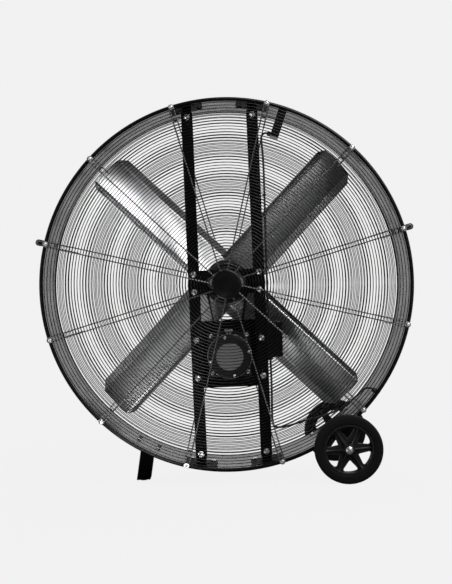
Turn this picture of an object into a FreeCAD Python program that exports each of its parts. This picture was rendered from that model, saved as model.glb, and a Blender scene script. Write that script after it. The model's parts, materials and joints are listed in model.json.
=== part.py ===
"""Belt-drive drum fan on two wheels and a leg, as a FreeCAD document of separate parts.

Frame: +Z up, +X to the right seen from the air intake, +Y from the intake to the outlet.
The origin is on the floor, below the middle of the drum. The drum's axis runs along Y at the
height drum_axis_height, and the fan's own axis lies hub_rise above it. Parts are placed from the
axis that they belong to, and the wheels and the leg's foot from the floor. Millimetres, degrees.
"""
import FreeCAD, Part
import math
import os

import Sketcher

Vector = FreeCAD.Vector
Rotation = FreeCAD.Rotation
Placement = FreeCAD.Placement

PARTS_FOLDER = "parts"
PART_LIMIT = 60

DRIVING_SIZES = {
    # drum
    "drum_axis_height": 605, "hub_rise": 7.5, "drum_depth": 290, "drum_outer": 562, "drum_wall": 2,
    "rim_outer": 570, "rim_bead": 6,
    # wire guards: rings outside, hairpin spokes behind them, a cap over the middle
    "ring_first": 44, "ring_pitch": 9.1, "ring_wire": 1.5, "spoke_wire": 2, "spoke_loop": 7,
    "spoke_circle": 563.5, "spoke_start": 36, "spoke_return": 492, "spoke_angle": 15,
    "cap_radius": 43.7, "cap_sheet": 2, "cap_lip": 5,
    "guard_screw": 2.4, "guard_screw_length": 14, "guard_screw_head": 5.2, "guard_washer": 7.8,
    # struts that span the drum on the intake side
    "strut_side": 100, "strut_width": 34, "strut_deep": 50, "strut_front": -120, "strut_wall": 2.5,
    "strut_half_length": 530, "strut_end_bolt": 515, "strut_hub_bolt": 27,
    "plate_bolt_upper": 175, "plate_bolt_lower": 290,
    "shoe_width": 96, "shoe_front": -130, "shoe_back": -10, "shoe_sheet": 4,
    "shoe_tab_start": 492, "shoe_play": 0.3, "shoe_bolt_angle": 3.6, "shoe_bolt_depth": -30,
    # fasteners
    "bolt_shank": 4, "bolt_hole": 4.2, "bolt_head": 7.5, "bolt_head_height": 5.3,
    "bolt_washer": 9.5, "washer_sheet": 1.6, "strut_bolt_grip": 54, "wall_bolt_grip": 6.5,
    "screw_shank": 3, "screw_hole": 3.2, "screw_head": 5.6, "screw_head_height": 4,
    # fan bearings, shaft and hub
    "bracket_depth": 60, "bracket_half_height": 38, "bracket_wall": 3,
    "shaft_radius": 12.5, "shaft_front": -100, "shaft_back": 98, "shaft_clear_hole": 20,
    "bearing_flange": 10, "bearing_boss": 22, "bearing_boss_radius": 27, "bearing_bolt_side": 44,
    "bearing_ring": 17, "bearing_ring_width": 18, "running_gap": 0.05,
    "pulley_radius": 70, "pulley_width": 22, "pulley_mid": 28, "groove_depth": 11,
    "groove_top": 7, "groove_bottom": 4.5, "pulley_hub": 26, "pulley_web": 3,
    "hub_radius": 40, "hub_back": 98, "hub_front": 50, "hub_bolt_length": 20,
    "arm_width": 48, "arm_sheet": 6, "arm_reach": 218, "arm_gap": 0.3, "blade_mid": 75,
    "blade_pitch": 25, "blade_tip": 528, "blade_root": 50, "blade_sheet": 2,
    "blade_lead": 64, "blade_trail": 72.7, "blade_camber": 4, "tip_round": 24,
    "blade_lip": 14, "blade_crease": 5, "blade_flange": 20.6,
    "blade_rivet": 4.5, "rivet_height": 2.6, "rivet_side": 16,
    # motor
    "motor_drop": 228, "motor_radius": 66, "motor_wall": 3, "motor_front": -134,
    "motor_shell_front": -112, "motor_shell_back": -10, "motor_back": 6,
    "motor_flange_side": 66, "motor_flange": 5, "mount_side": 56, "mount_up": 63, "mount_down": 52,
    "through_bolt_circle": 60, "through_bolt_angle": 12, "through_bolt": 2.5,
    "through_bolt_head": 4.6, "cover_radius": 41.5, "cover_sheet": 2, "motor_shaft": 8,
    "band_width": 14, "band_sheet": 2.5, "motor_pulley_radius": 31,
    "plate_top": 118.5, "plate_bottom": 325.5, "plate_sheet": 4,
    # belt
    "belt_half_width": 4.7, "belt_height": 8,
    # electrical boxes and leads
    "terminal_width": 45, "terminal_top": 122, "terminal_bottom": 227, "terminal_front": -122,
    "terminal_depth": 50, "box_wall": 2, "lid_sheet": 2,
    "switch_angle": 69.7, "switch_inner": 473, "switch_outer": 558, "switch_thickness": 26,
    "switch_front": -130, "switch_depth": 80, "lead_exit": 10, "lead_exit_depth": 22,
    "knob_radius": 15, "knob_base": 563.5, "knob_height": 7, "knob_grip": 5, "knob_seat": 5,
    "switch_spindle": 3,
    "lead_radius": 3.2, "lead_side": 125, "lead_depth": -97, "gland_radius": 7.5,
    "gland_length": 10, "cord_gland_angle": -38.1, "cord_gland_depth": -118, "tie_width": 5,
    # wheels and axle
    "wheel_x": 340.5, "wheel_y": 230, "wheel_radius": 101.5, "wheel_width": 45,
    "tyre_inner": 75, "wheel_rim": 68, "wheel_hub": 20, "wheel_web": 14, "wheel_turn": 32.5,
    "axle_radius": 8,
    "axle_half_length": 262, "axle_washer": 10.8, "axle_cap": 9.4, "axle_cap_height": 7,
    "side_play": 0.4,
    "axle_bracket_y": 120, "bracket_bolt_depth": 100, "axle_bracket_sheet": 5,
    "bracket_foot_depth": 36, "bracket_strip": 11,
    # leg and its foot
    "leg_x": -287, "leg_tilt": 10, "leg_width": 42, "leg_depth": 60, "leg_wall": 3,
    "leg_length": 150, "leg_clearance": 5, "leg_saddle_width": 92, "leg_saddle_depth": 90,
    "leg_saddle_angle": 241.6, "saddle_bolt_angle": 3.4, "saddle_bolt_depth": 36,
    "pad_radius": 9.5,
    # carry handles
    "handle_angle": 15, "handle_reach": 601, "handle_rod": 6, "handle_half_length": 60,
    "handle_bend": 16, "grip_radius": 10, "grip_half_length": 40,
    "handle_foot_half_length": 90, "handle_foot_width": 26, "handle_foot_sheet": 3,
    "handle_bolt_depth": 78, "handle_foot_gap": 0.2,
}

GUARD_RINGS = 57
SPOKES_PER_GUARD = 12
BRACKET_BOLT_ANGLES = (-49, -63)
BRACKET_START = -45
BRACKET_END = -67
RIVET_RADII = (115, 160, 205)
BLADES = 4
WHEEL_SPOKES = 6
TREAD_GROOVES = (-11, 0, 11)
HALF_FLATS = math.sqrt(3) / 2
CUT_MARGIN = 20

document = FreeCAD.newDocument("drum_fan")
sheet = document.addObject("Spreadsheet::Sheet", "sizes")
sub_parts = []


# --- sizes -----------------------------------------------------------------------------------

class Size:
    """A size that carries both its number and the sheet expression that gives it."""

    def __init__(self, number, text):
        self.number = float(number)
        self.text = text

    def combined(self, other, sign, number):
        return Size(number, f"({self.text} {sign} {as_size(other).text})")

    def __add__(self, other):
        return self.combined(other, "+", self.number + float(other))

    def __sub__(self, other):
        return self.combined(other, "-", self.number - float(other))

    def __mul__(self, other):
        return self.combined(other, "*", self.number * float(other))

    def __truediv__(self, other):
        return self.combined(other, "/", self.number / float(other))

    def __radd__(self, other):
        return as_size(other) + self

    def __rsub__(self, other):
        return as_size(other) - self

    def __rmul__(self, other):
        return as_size(other) * self

    def __neg__(self):
        return as_size(0) - self

    def __float__(self):
        return self.number


def as_size(value):
    """Give a plain number the same form as a size from the sheet."""
    return value if isinstance(value, Size) else Size(value, repr(float(value)))


def write_sheet():
    """Put each driving size in the sheet as a plain number with an alias."""
    for row, (name, number) in enumerate(DRIVING_SIZES.items(), start=1):
        sheet.set(f"A{row}", name)
        sheet.set(f"B{row}", str(number))
        sheet.setAlias(f"B{row}", name)
    document.recompute()


def size(name):
    """Read one driving size."""
    return Size(sheet.get(name), f"sizes.{name}")


def bind(item, **properties):
    """Set an object's properties, and tie each one to its expression."""
    for name, value in properties.items():
        value = as_size(value)
        setattr(item, name, value.number)
        item.setExpression(name, value.text)
    return item


# --- placing ---------------------------------------------------------------------------------

INWARD = Vector(0, 1, 0)
OUTWARD = Vector(0, -1, 0)


def on_axis(x=0, y=0, z=0, rotation=None):
    """A placement counted from the drum's axis at the middle of its depth."""
    return on_floor(x, y, float(z) + float(size("drum_axis_height")), rotation)


def on_hub(x=0, y=0, z=0, rotation=None):
    """A placement counted from the fan's own axis at the middle of the drum's depth."""
    return on_axis(x, y, float(z) + float(size("hub_rise")), rotation)


def on_floor(x=0, y=0, z=0, rotation=None):
    """A placement counted from the floor below the middle of the drum."""
    return Placement(Vector(float(x), float(y), float(z)), rotation or Rotation())


def facing(direction):
    """The turn that takes +Z to a direction."""
    return Rotation(Vector(0, 0, 1), direction)


def about_axis(degrees):
    """The turn about a line along Y that takes +X up towards +Z."""
    return Rotation(OUTWARD, float(degrees))


def radial(degrees, radius=0, depth=0):
    """A point in the drum at an angle from +X, seen from the intake."""
    angle = math.radians(float(degrees))
    return Vector(float(radius) * math.cos(angle), float(depth), float(radius) * math.sin(angle))


def on_wall(degrees, radius, depth):
    """A placement on the drum's wall whose +Z points out from the axis."""
    point = radial(degrees, radius, depth)
    return on_axis(point.x, point.y, point.z, facing(radial(degrees, 1)))


def turned(degrees):
    """A placement on the drum's axis whose +X points out at an angle."""
    return on_axis(rotation=about_axis(degrees))


def along_arm(degrees):
    """A placement on the fan's axis, at the blades' depth, whose +X points out along an arm."""
    return on_hub(0, size("blade_mid"), 0, about_axis(degrees))


# --- Part workbench building blocks ----------------------------------------------------------

def helper(kind, name):
    """Add a document object that other parts are made from."""
    return document.addObject(kind, name)


def box(name, low, high):
    """A block between two corners."""
    item = helper("Part::Box", name)
    spans = [as_size(top) - bottom for bottom, top in zip(low, high)]
    bind(item, Length=spans[0], Width=spans[1], Height=spans[2])
    for letter, value in zip("xyz", low):
        item.setExpression(f"Placement.Base.{letter}", as_size(value).text)
    return item


def rod_along(name, direction, radius, length, start=(0, 0, 0)):
    """A round bar from a start point."""
    item = bind(helper("Part::Cylinder", name), Radius=radius, Height=length)
    item.Placement = Placement(Vector(*map(float, start)), facing(direction))
    for letter, value in zip("xyz", start):
        item.setExpression(f"Placement.Base.{letter}", as_size(value).text)
    return item


def wire_ring(name, radius, wire, depth=0):
    """A ring of round wire about the Y axis."""
    item = bind(helper("Part::Torus", name), Radius1=radius, Radius2=wire)
    item.Placement = Placement(Vector(0, float(depth), 0), facing(INWARD))
    item.setExpression("Placement.Base.y", as_size(depth).text)
    return item


def joined(name, items):
    """One solid out of several that touch or overlap."""
    item = helper("Part::MultiFuse", name)
    item.Shapes = items
    item.Refine = True
    return item


def cut(name, base, tool):
    """A solid with another one taken out of it."""
    item = helper("Part::Cut", name)
    item.Base = base
    item.Tool = tool
    return item


def shared(name, one, other):
    """What two solids have in common."""
    item = helper("Part::Common", name)
    item.Base = one
    item.Tool = other
    return item


def group(name, items):
    """Separate solids kept together as one object."""
    item = helper("Part::Compound", name)
    item.Links = items
    return item


def copies(name, template, placements):
    """The same solid at several places, as one object."""
    links = []
    for number, placement in enumerate(placements, start=1):
        link = helper("App::Link", f"{name}_{number}")
        link.LinkedObject = template
        link.LinkTransform = True
        link.Placement = placement
        links.append(link)
    return group(name, links)


def sub_part(name, item, placement=None):
    """Name a finished object as one of the fan's parts, and put it in its place."""
    item.Label = name
    if placement is not None:
        item.Placement = placement
    sub_parts.append(item)
    return item


# --- PartDesign building blocks --------------------------------------------------------------

def new_body(name):
    return helper("PartDesign::Body", name)


def sketch_on(body, role):
    """A sketch on one of a body's own origin planes."""
    sketch = body.newObject("Sketcher::SketchObject", "outline")
    planes = [item for item in body.Origin.OriginFeatures if item.Role == role]
    sketch.AttachmentSupport = [(planes[0], "")]
    sketch.MapMode = "FlatFace"
    return sketch


def hold(sketch, kind, value, *places):
    """Add a constraint and tie its value to an expression."""
    value = as_size(value)
    index = sketch.addConstraint(Sketcher.Constraint(kind, *places, value.number))
    sketch.setExpression(f"Constraints[{index}]", value.text)


def add_outline(sketch, corners):
    """Draw a closed outline with straight sides, each corner held from the sketch's origin."""
    points = [Vector(float(across), float(along), 0) for across, along in corners]
    first = sketch.GeometryCount
    for point, following in zip(points, points[1:] + points[:1]):
        sketch.addGeometry(Part.LineSegment(point, following), False)
    for index, (across, along) in enumerate(corners):
        line = first + index
        following = first + (index + 1) % len(corners)
        sketch.addConstraint(Sketcher.Constraint("Coincident", line, 2, following, 1))
        hold(sketch, "DistanceX", across, -1, 1, line, 1)
        hold(sketch, "DistanceY", along, -1, 1, line, 1)


def add_rectangle(sketch, low, high):
    add_outline(sketch, [low, (high[0], low[1]), high, (low[0], high[1])])


def add_circle(sketch, radius, across=0, along=0):
    """Draw a circle held from the sketch's origin."""
    centre = Vector(float(across), float(along), 0)
    circle = sketch.addGeometry(Part.Circle(centre, Vector(0, 0, 1), float(radius)), False)
    hold(sketch, "DistanceX", across, -1, 1, circle, 3)
    hold(sketch, "DistanceY", along, -1, 1, circle, 3)
    hold(sketch, "Radius", radius, circle)


def revolve(body, corners):
    """Turn an outline of (radius, depth) corners about the Y axis."""
    sketch = sketch_on(body, "XY_Plane")
    add_outline(sketch, corners)
    feature = body.newObject("PartDesign::Revolution", "turned")
    feature.Profile = sketch
    feature.ReferenceAxis = (sketch, ["V_Axis"])
    feature.Angle = 360
    return feature


def pad(body, sketch, length, symmetric=False, backwards=False):
    """Thicken a sketch; forwards is the sketch plane's own normal."""
    feature = body.newObject("PartDesign::Pad", "thickened")
    feature.Profile = sketch
    bind(feature, Length=length)
    feature.SideType = "Symmetric" if symmetric else "One side"
    feature.Reversed = backwards
    return feature


def pocket_through(body, sketch):
    """Cut a sketch right through, both ways, and make sure that it removed something."""
    document.recompute()
    before = body.Shape.Volume
    feature = body.newObject("PartDesign::Pocket", "cut_through")
    feature.Profile = sketch
    feature.Type = "ThroughAll"
    feature.SideType = "Symmetric"
    document.recompute()
    if not body.Shape.Volume < before:
        raise RuntimeError(f"{body.Name}: a cut removed nothing")
    return feature


def repeat_about(body, feature, sketch, count):
    """Repeat a feature round the normal of its sketch."""
    pattern = body.newObject("PartDesign::PolarPattern", "repeated")
    pattern.Originals = [feature]
    pattern.Axis = (sketch, ["N_Axis"])
    pattern.Angle = 360
    pattern.Occurrences = count
    body.Tip = pattern
    return pattern


def plate(name, outline, holes, thickness):
    """A flat plate in the XZ plane with round holes, thickened towards +Y."""
    body = new_body(name)
    sketch = sketch_on(body, "XZ_Plane")
    add_outline(sketch, outline)
    for radius, across, along in holes:
        add_circle(sketch, radius, across, along)
    pad(body, sketch, thickness, backwards=True)
    return body


def ring_body(name, inner, outer, low, high):
    """A plain ring about the Y axis."""
    body = new_body(name)
    revolve(body, [(inner, low), (outer, low), (outer, high), (inner, high)])
    return body


def disc_body(name, radius, low, high):
    """A plain disc about the Y axis."""
    return ring_body(name, 0, radius, low, high)


# --- bent wire, rod and lead -----------------------------------------------------------------

# the share of an inner run that the bend at each of its ends may use
RUN_SHARE = 0.45


def bent_path(points, bend_radii):
    """A path of straight runs joined by tangent arcs, one radius for each inner point."""
    edges = []
    start = points[0]
    for before, corner, after, radius in zip(points, points[1:], points[2:], bend_radii):
        inward = (before - corner).normalize()
        onward = (after - corner).normalize()
        half_opening = inward.getAngle(onward) / 2
        reach = radius / math.tan(half_opening)
        arc_start = corner + inward * reach
        arc_end = corner + onward * reach
        middle_line = (inward + onward).normalize()
        arc_middle = corner + middle_line * (radius / math.sin(half_opening) - radius)
        edges.append(Part.LineSegment(start, arc_start).toShape())
        edges.append(Part.Arc(arc_start, arc_middle, arc_end).toShape())
        start = arc_end
    edges.append(Part.LineSegment(start, points[-1]).toShape())
    return Part.Wire(edges)


def widest_radii(points):
    """The largest arcs that a route leaves room for, with its ends straight in their glands."""
    runs = [(after - before).Length for before, after in zip(points, points[1:])]
    rooms = [run * RUN_SHARE for run in runs]
    for end in (0, -1):
        rooms[end] = runs[end] - float(size("gland_length"))
    radii = []
    for number, (before, corner, after) in enumerate(zip(points, points[1:], points[2:])):
        turn = math.pi - (before - corner).getAngle(after - corner)
        radii.append(min(rooms[number], rooms[number + 1]) / math.tan(turn / 2))
    return radii


def bent_bar(name, points, bend_radii, radius):
    """A round bar along a bent path, with its volume checked against its length."""
    path = bent_path(points, bend_radii)
    circle = Part.Circle(points[0], points[1] - points[0], radius)
    solid = path.makePipeShell([Part.Wire([circle.toShape()])], True, False)
    expected = math.pi * radius ** 2 * path.Length
    if abs(solid.Volume - expected) > 0.01 * expected:
        raise RuntimeError(f"{name}: the bar's volume doesn't match its length")
    item = helper("Part::Feature", name)
    item.Shape = solid
    return item


def lead(name, points):
    """A flexible lead along its route, reporting its length and tightest bend."""
    radii = widest_radii(points)
    radius = float(size("lead_radius"))
    length = bent_path(points, radii).Length
    print(f"{name}: length {length:.0f} mm, bend radii", [round(value) for value in radii])
    return bent_bar(name, points, radii, radius)


# --- fasteners -------------------------------------------------------------------------------

def hex_bolt(name, shank, grip, head, head_height, washer):
    """A bolt along -Z from the face it clamps, with a washer, a hexagon head and a nut."""
    sheet_metal = size("washer_sheet")
    head_item = bind(helper("Part::Prism", f"{name}_head"), Circumradius=head, Height=head_height)
    head_item.Placement = Placement(Vector(0, 0, float(sheet_metal)), Rotation())
    nut_item = bind(helper("Part::Prism", f"{name}_nut"), Circumradius=head, Height=head_height)
    nut_item.Placement = Placement(Vector(0, 0, -float(grip + head_height)), Rotation())
    reach = grip + head_height + sheet_metal
    pieces = [
        rod_along(f"{name}_washer", Vector(0, 0, 1), washer, sheet_metal),
        head_item,
        nut_item,
        rod_along(f"{name}_shank", Vector(0, 0, -1), shank, reach, (0, 0, sheet_metal)),
    ]
    return joined(name, pieces)


def headed_screw(name, shank, length, head, head_height, washer=None):
    """A round-headed screw along -Z from the face it clamps."""
    seat = size("washer_sheet") if washer else as_size(0)
    pieces = [
        rod_along(f"{name}_head", Vector(0, 0, 1), head, head_height, (0, 0, seat)),
        rod_along(f"{name}_shank", Vector(0, 0, -1), shank, length + seat, (0, 0, seat)),
    ]
    if washer:
        pieces.append(rod_along(f"{name}_washer", Vector(0, 0, 1), washer, seat))
    return joined(name, pieces)


def drill(name, radius, length):
    """A round cutter centred on the face it goes through."""
    return rod_along(name, Vector(0, 0, 1), radius, length, (0, 0, -length / 2))


# --- drum and guards -------------------------------------------------------------------------

def rim_places(side):
    """Where the screws of one guard stand; side is -1 at the intake and 1 at the outlet."""
    turn = 360 / SPOKES_PER_GUARD
    depth = side * float(size("drum_depth") / 2 + 2 * size("spoke_wire"))
    places = []
    for number in range(SPOKES_PER_GUARD):
        angle = float(size("spoke_angle")) + number * turn
        point = radial(angle, size("spoke_circle"), depth)
        places.append(on_axis(point.x, point.y, point.z, facing(INWARD * side)))
    return places


def wall_bolt_places():
    """Every bolt through the drum's wall, with its head outside."""
    wall = size("drum_outer")
    places = []
    foot_top = size("handle_foot_gap") + size("handle_foot_sheet")
    strut_angle = math.degrees(math.acos(float(size("strut_side") / wall)))
    for side in (-1, 1):
        for angle in (size("handle_angle"), 180 - size("handle_angle")):
            places.append(on_wall(angle, wall + foot_top, side * size("handle_bolt_depth")))
        for step in (-1, 1):
            angle = size("leg_saddle_angle") + step * size("saddle_bolt_angle")
            places.append(on_wall(angle, wall + size("leg_wall"), side * size("saddle_bolt_depth")))
        for angle in BRACKET_BOLT_ANGLES:
            places.append(on_wall(angle, wall + size("leg_wall"), side * size("bracket_bolt_depth")))
        for middle in (strut_angle, -strut_angle, 180 + strut_angle, 180 - strut_angle):
            angle = middle + side * size("shoe_bolt_angle")
            places.append(on_wall(angle, wall, size("shoe_bolt_depth")))
    return places


def make_drum(wall_holes):
    """The rolled drum: a thin wall with a bead at each rim, drilled for everything on it."""
    half_depth = size("drum_depth") / 2
    bead_circle = size("rim_outer") - size("rim_bead")
    wall_half = half_depth - size("rim_bead")
    outside = rod_along("drum_outside", INWARD, size("drum_outer"), wall_half * 2, (0, -wall_half, 0))
    inside = rod_along("drum_inside", INWARD, size("drum_outer") - size("drum_wall"),
                       size("drum_depth"), (0, -half_depth, 0))
    beads = [wire_ring(f"bead_{number}", bead_circle, size("rim_bead"), side * wall_half)
             for number, side in enumerate((-1, 1))]
    shell = joined("drum_blank", [cut("drum_tube", outside, inside)] + beads)
    shell.Placement = on_axis()
    screw_drill = drill("screw_drill", size("guard_screw"), 2 * size("guard_screw_length") + 12)
    screw_holes = copies("rim_holes", screw_drill, rim_places(-1) + rim_places(1))
    spindle_drill = drill("spindle_drill", size("switch_spindle") * 2, CUT_MARGIN)
    gland_drill = drill("gland_drill", size("gland_radius") - 1, CUT_MARGIN)
    openings = [
        copies("spindle_hole", spindle_drill,
               [on_wall(size("switch_angle"), size("drum_outer"), switch_mid_depth())]),
        copies("gland_hole", gland_drill,
               [on_wall(size("cord_gland_angle"), size("drum_outer"), size("cord_gland_depth"))]),
    ]
    cutters = group("drum_cutters", [screw_holes, wall_holes] + openings)
    sub_part("drum_shell", cut("drum_shell", shell, cutters))


def guard_ring(name, radius):
    """One ring of the guard, its wire drawn with six flat sides to keep the many rings light."""
    wire = size("ring_wire")
    slope = wire * HALF_FLATS
    body = new_body(name)
    revolve(body, [(radius - wire, 0), (radius - wire / 2, -slope), (radius + wire / 2, -slope),
                   (radius + wire, 0), (radius + wire / 2, slope), (radius - wire / 2, slope)])
    return body


def make_guard_rings():
    """The concentric rings of both guards."""
    depth = size("drum_depth") / 2 + 2 * size("spoke_wire") + size("ring_wire") * HALF_FLATS
    rings = [guard_ring(f"ring_{number}", size("ring_first") + size("ring_pitch") * number)
             for number in range(GUARD_RINGS)]
    template = group("ring_set", rings)
    for side, name in ((-1, "intake_guard_rings"), (1, "outlet_guard_rings")):
        sub_part(name, copies(name, template, [on_axis(0, side * float(depth), 0)]))


def make_guard_spokes():
    """Hairpin spokes: a long leg from the hub, a loop round a rim screw and a short way back."""
    loop = size("spoke_loop")
    wire = size("spoke_wire")
    circle = size("spoke_circle")
    start = size("spoke_start")
    back = size("spoke_return")
    along = Vector(1, 0, 0)
    bend = bind(helper("Part::Torus", "spoke_bend"), Radius1=loop, Radius2=wire, Angle3=180)
    bend.Placement = Placement(Vector(float(circle), 0, 0), Rotation(Vector(0, 0, 1), INWARD)
                               .multiply(Rotation(Vector(0, 0, 1), -90)))
    long_leg = rod_along("spoke_long_leg", along, wire, circle - start, (start, 0, loop))
    short_leg = rod_along("spoke_short_leg", along, wire, circle - back, (back, 0, -loop))
    hairpin = joined("hairpin", [long_leg, bend, short_leg])
    turn = 360 / SPOKES_PER_GUARD
    depth = float(size("drum_depth") / 2 + wire)
    for side, name in ((-1, "intake_guard_spokes"), (1, "outlet_guard_spokes")):
        places = []
        for number in range(SPOKES_PER_GUARD):
            angle = float(size("spoke_angle")) + number * turn
            flip = Rotation(Vector(1, 0, 0), 0 if side < 0 else 180)
            places.append(on_axis(0, side * depth, 0, about_axis(angle).multiply(flip)))
        sub_part(name, copies(name, hairpin, places))


def make_guard_caps():
    """The pressed disc that closes the middle of each guard."""
    radius = size("cap_radius")
    sheet_metal = size("cap_sheet")
    body = new_body("cap")
    revolve(body, [(0, 0), (radius - size("cap_lip"), 0), (radius, sheet_metal * 0.6),
                   (radius, sheet_metal * 1.6), (0, sheet_metal)])
    face = size("drum_depth") / 2 + 2 * size("spoke_wire") + 2 * size("ring_wire")
    depth = float(face + 1.6 * sheet_metal)
    places = [on_axis(0, -depth, 0), on_axis(0, depth, 0, Rotation(Vector(0, 0, 1), 180))]
    sub_part("guard_caps", copies("guard_caps", body, places))


def make_guard_screws():
    """The screws whose washers clamp the spokes' loops to the rims."""
    screw = headed_screw("guard_screw", size("guard_screw"), size("guard_screw_length"),
                         size("guard_screw_head"), size("screw_head_height"), size("guard_washer"))
    sub_part("guard_screws", copies("guard_screws", screw, rim_places(-1) + rim_places(1)))


# --- struts ----------------------------------------------------------------------------------

def strut_bolt_places():
    """Every bolt through a strut: its ends, the bearing bracket and the motor plate."""
    from_hub = [size("strut_hub_bolt"), -size("strut_hub_bolt"), -size("plate_bolt_upper"),
                -size("plate_bolt_lower")]
    heights = [size("strut_end_bolt"), -size("strut_end_bolt")]
    heights += [height + size("hub_rise") for height in from_hub]
    return [(side * size("strut_side"), height) for side in (-1, 1) for height in heights]


def make_struts():
    """Two square tubes that stand in the drum and carry the bearings and the motor plate."""
    half_width = size("strut_width") / 2
    wall = size("strut_wall")
    deep = size("strut_deep")
    for side, name in ((-1, "strut_left"), (1, "strut_right")):
        body = new_body(name)
        profile = sketch_on(body, "XY_Plane")
        add_rectangle(profile, (-half_width, 0), (half_width, deep))
        add_rectangle(profile, (wall - half_width, wall), (half_width - wall, deep - wall))
        pad(body, profile, size("strut_half_length") * 2, symmetric=True)
        holes = sketch_on(body, "XZ_Plane")
        for across, along in strut_bolt_places():
            if float(across) * side > 0:
                add_circle(holes, size("bolt_hole"), 0, along)
        pocket_through(body, holes)
        sub_part(name, body, on_axis(side * size("strut_side"), size("strut_front")))


def make_shoes(wall_holes):
    """Four shoes: a curved foot on the drum's inner wall and a tab inside the strut's end."""
    inner = size("drum_outer") - size("drum_wall")
    middle = size("strut_side")
    foot_half = size("shoe_width") / 2
    tab_half = size("strut_width") / 2 - size("strut_wall") - size("shoe_play")
    tab_wall = size("shoe_sheet")
    front = size("strut_front") + size("strut_wall") + size("shoe_play")
    back = size("strut_front") + size("strut_deep") - size("strut_wall") - size("shoe_play")
    foot_front = size("shoe_front")
    foot_back = size("shoe_back")
    tube_start = (0, foot_front, 0)
    below = size("shoe_tab_start") / 2
    above = size("rim_outer")
    outside = rod_along("shoe_outside", INWARD, inner, foot_back - foot_front, tube_start)
    inside = rod_along("shoe_inside", INWARD, inner - tab_wall, foot_back - foot_front, tube_start)
    sector = box("shoe_sector", (middle - foot_half, foot_front, below),
                 (middle + foot_half, foot_back, above))
    foot = shared("shoe_foot", cut("shoe_tube", outside, inside), sector)
    tab_box = box("tab_box", (middle - tab_half, front, size("shoe_tab_start")),
                  (middle + tab_half, back, above))
    tab_hollow = box("tab_hollow", (middle - tab_half + tab_wall, front + tab_wall, below),
                     (middle + tab_half - tab_wall, back - tab_wall, above))
    tab_bounds = rod_along("tab_bounds", INWARD, inner - tab_wall / 2, size("drum_depth"),
                           (0, -size("drum_depth") / 2, 0))
    tab = shared("tab", cut("tab_tube", tab_box, tab_hollow), tab_bounds)
    bolt_way = rod_along("tab_bolt_way", INWARD, size("bolt_hole"), size("strut_deep") * 2,
                         (middle, size("strut_front") - CUT_MARGIN, size("strut_end_bolt")))
    shoe = cut("shoe", joined("shoe_blank", [foot, tab]), bolt_way)
    mirrored = helper("Part::Mirroring", "shoe_mirrored")
    mirrored.Source = shoe
    mirrored.Normal = Vector(1, 0, 0)
    half_turn = about_axis(180)
    shoes = group("shoes", [
        copies("shoes_upper", shoe, [on_axis(), on_axis(rotation=half_turn)]),
        copies("shoes_lower", mirrored, [on_axis(), on_axis(rotation=half_turn)]),
    ])
    sub_part("strut_shoes", cut("strut_shoes", shoes, wall_holes))


def make_strut_bolts():
    bolt = hex_bolt("strut_bolt", size("bolt_shank"), size("strut_bolt_grip"), size("bolt_head"),
                    size("bolt_head_height"), size("bolt_washer"))
    places = [on_axis(across, size("strut_front"), along, facing(OUTWARD))
              for across, along in strut_bolt_places()]
    sub_part("strut_bolts", copies("strut_bolts", bolt, places))


def make_wall_bolts():
    bolt = hex_bolt("wall_bolt", size("bolt_shank"), size("wall_bolt_grip"), size("bolt_head"),
                    size("bolt_head_height"), size("bolt_washer"))
    sub_part("wall_bolts", copies("wall_bolts", bolt, wall_bolt_places()))


# --- fan bearings, shaft and pulley ----------------------------------------------------------

def bracket_front():
    return size("strut_front") + size("strut_deep")


def make_bearing_bracket():
    """A square tube across the backs of the struts, bored for the fan's shaft."""
    half_height = size("bracket_half_height")
    wall = size("bracket_wall")
    depth = size("bracket_depth")
    body = new_body("bearing_bracket")
    profile = sketch_on(body, "YZ_Plane")
    add_rectangle(profile, (0, -half_height), (depth, half_height))
    add_rectangle(profile, (wall, wall - half_height), (depth - wall, half_height - wall))
    pad(body, profile, size("strut_side") * 2 + size("strut_width"), symmetric=True)
    holes = sketch_on(body, "XZ_Plane")
    add_circle(holes, size("shaft_clear_hole"))
    for side in (-1, 1):
        add_circle(holes, size("bolt_hole"), side * size("bearing_bolt_side"), 0)
        for height in (-1, 1):
            add_circle(holes, size("bolt_hole"), side * size("strut_side"),
                       height * size("strut_hub_bolt"))
    pocket_through(body, holes)
    sub_part("bearing_bracket", body, on_hub(0, bracket_front()))


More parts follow.
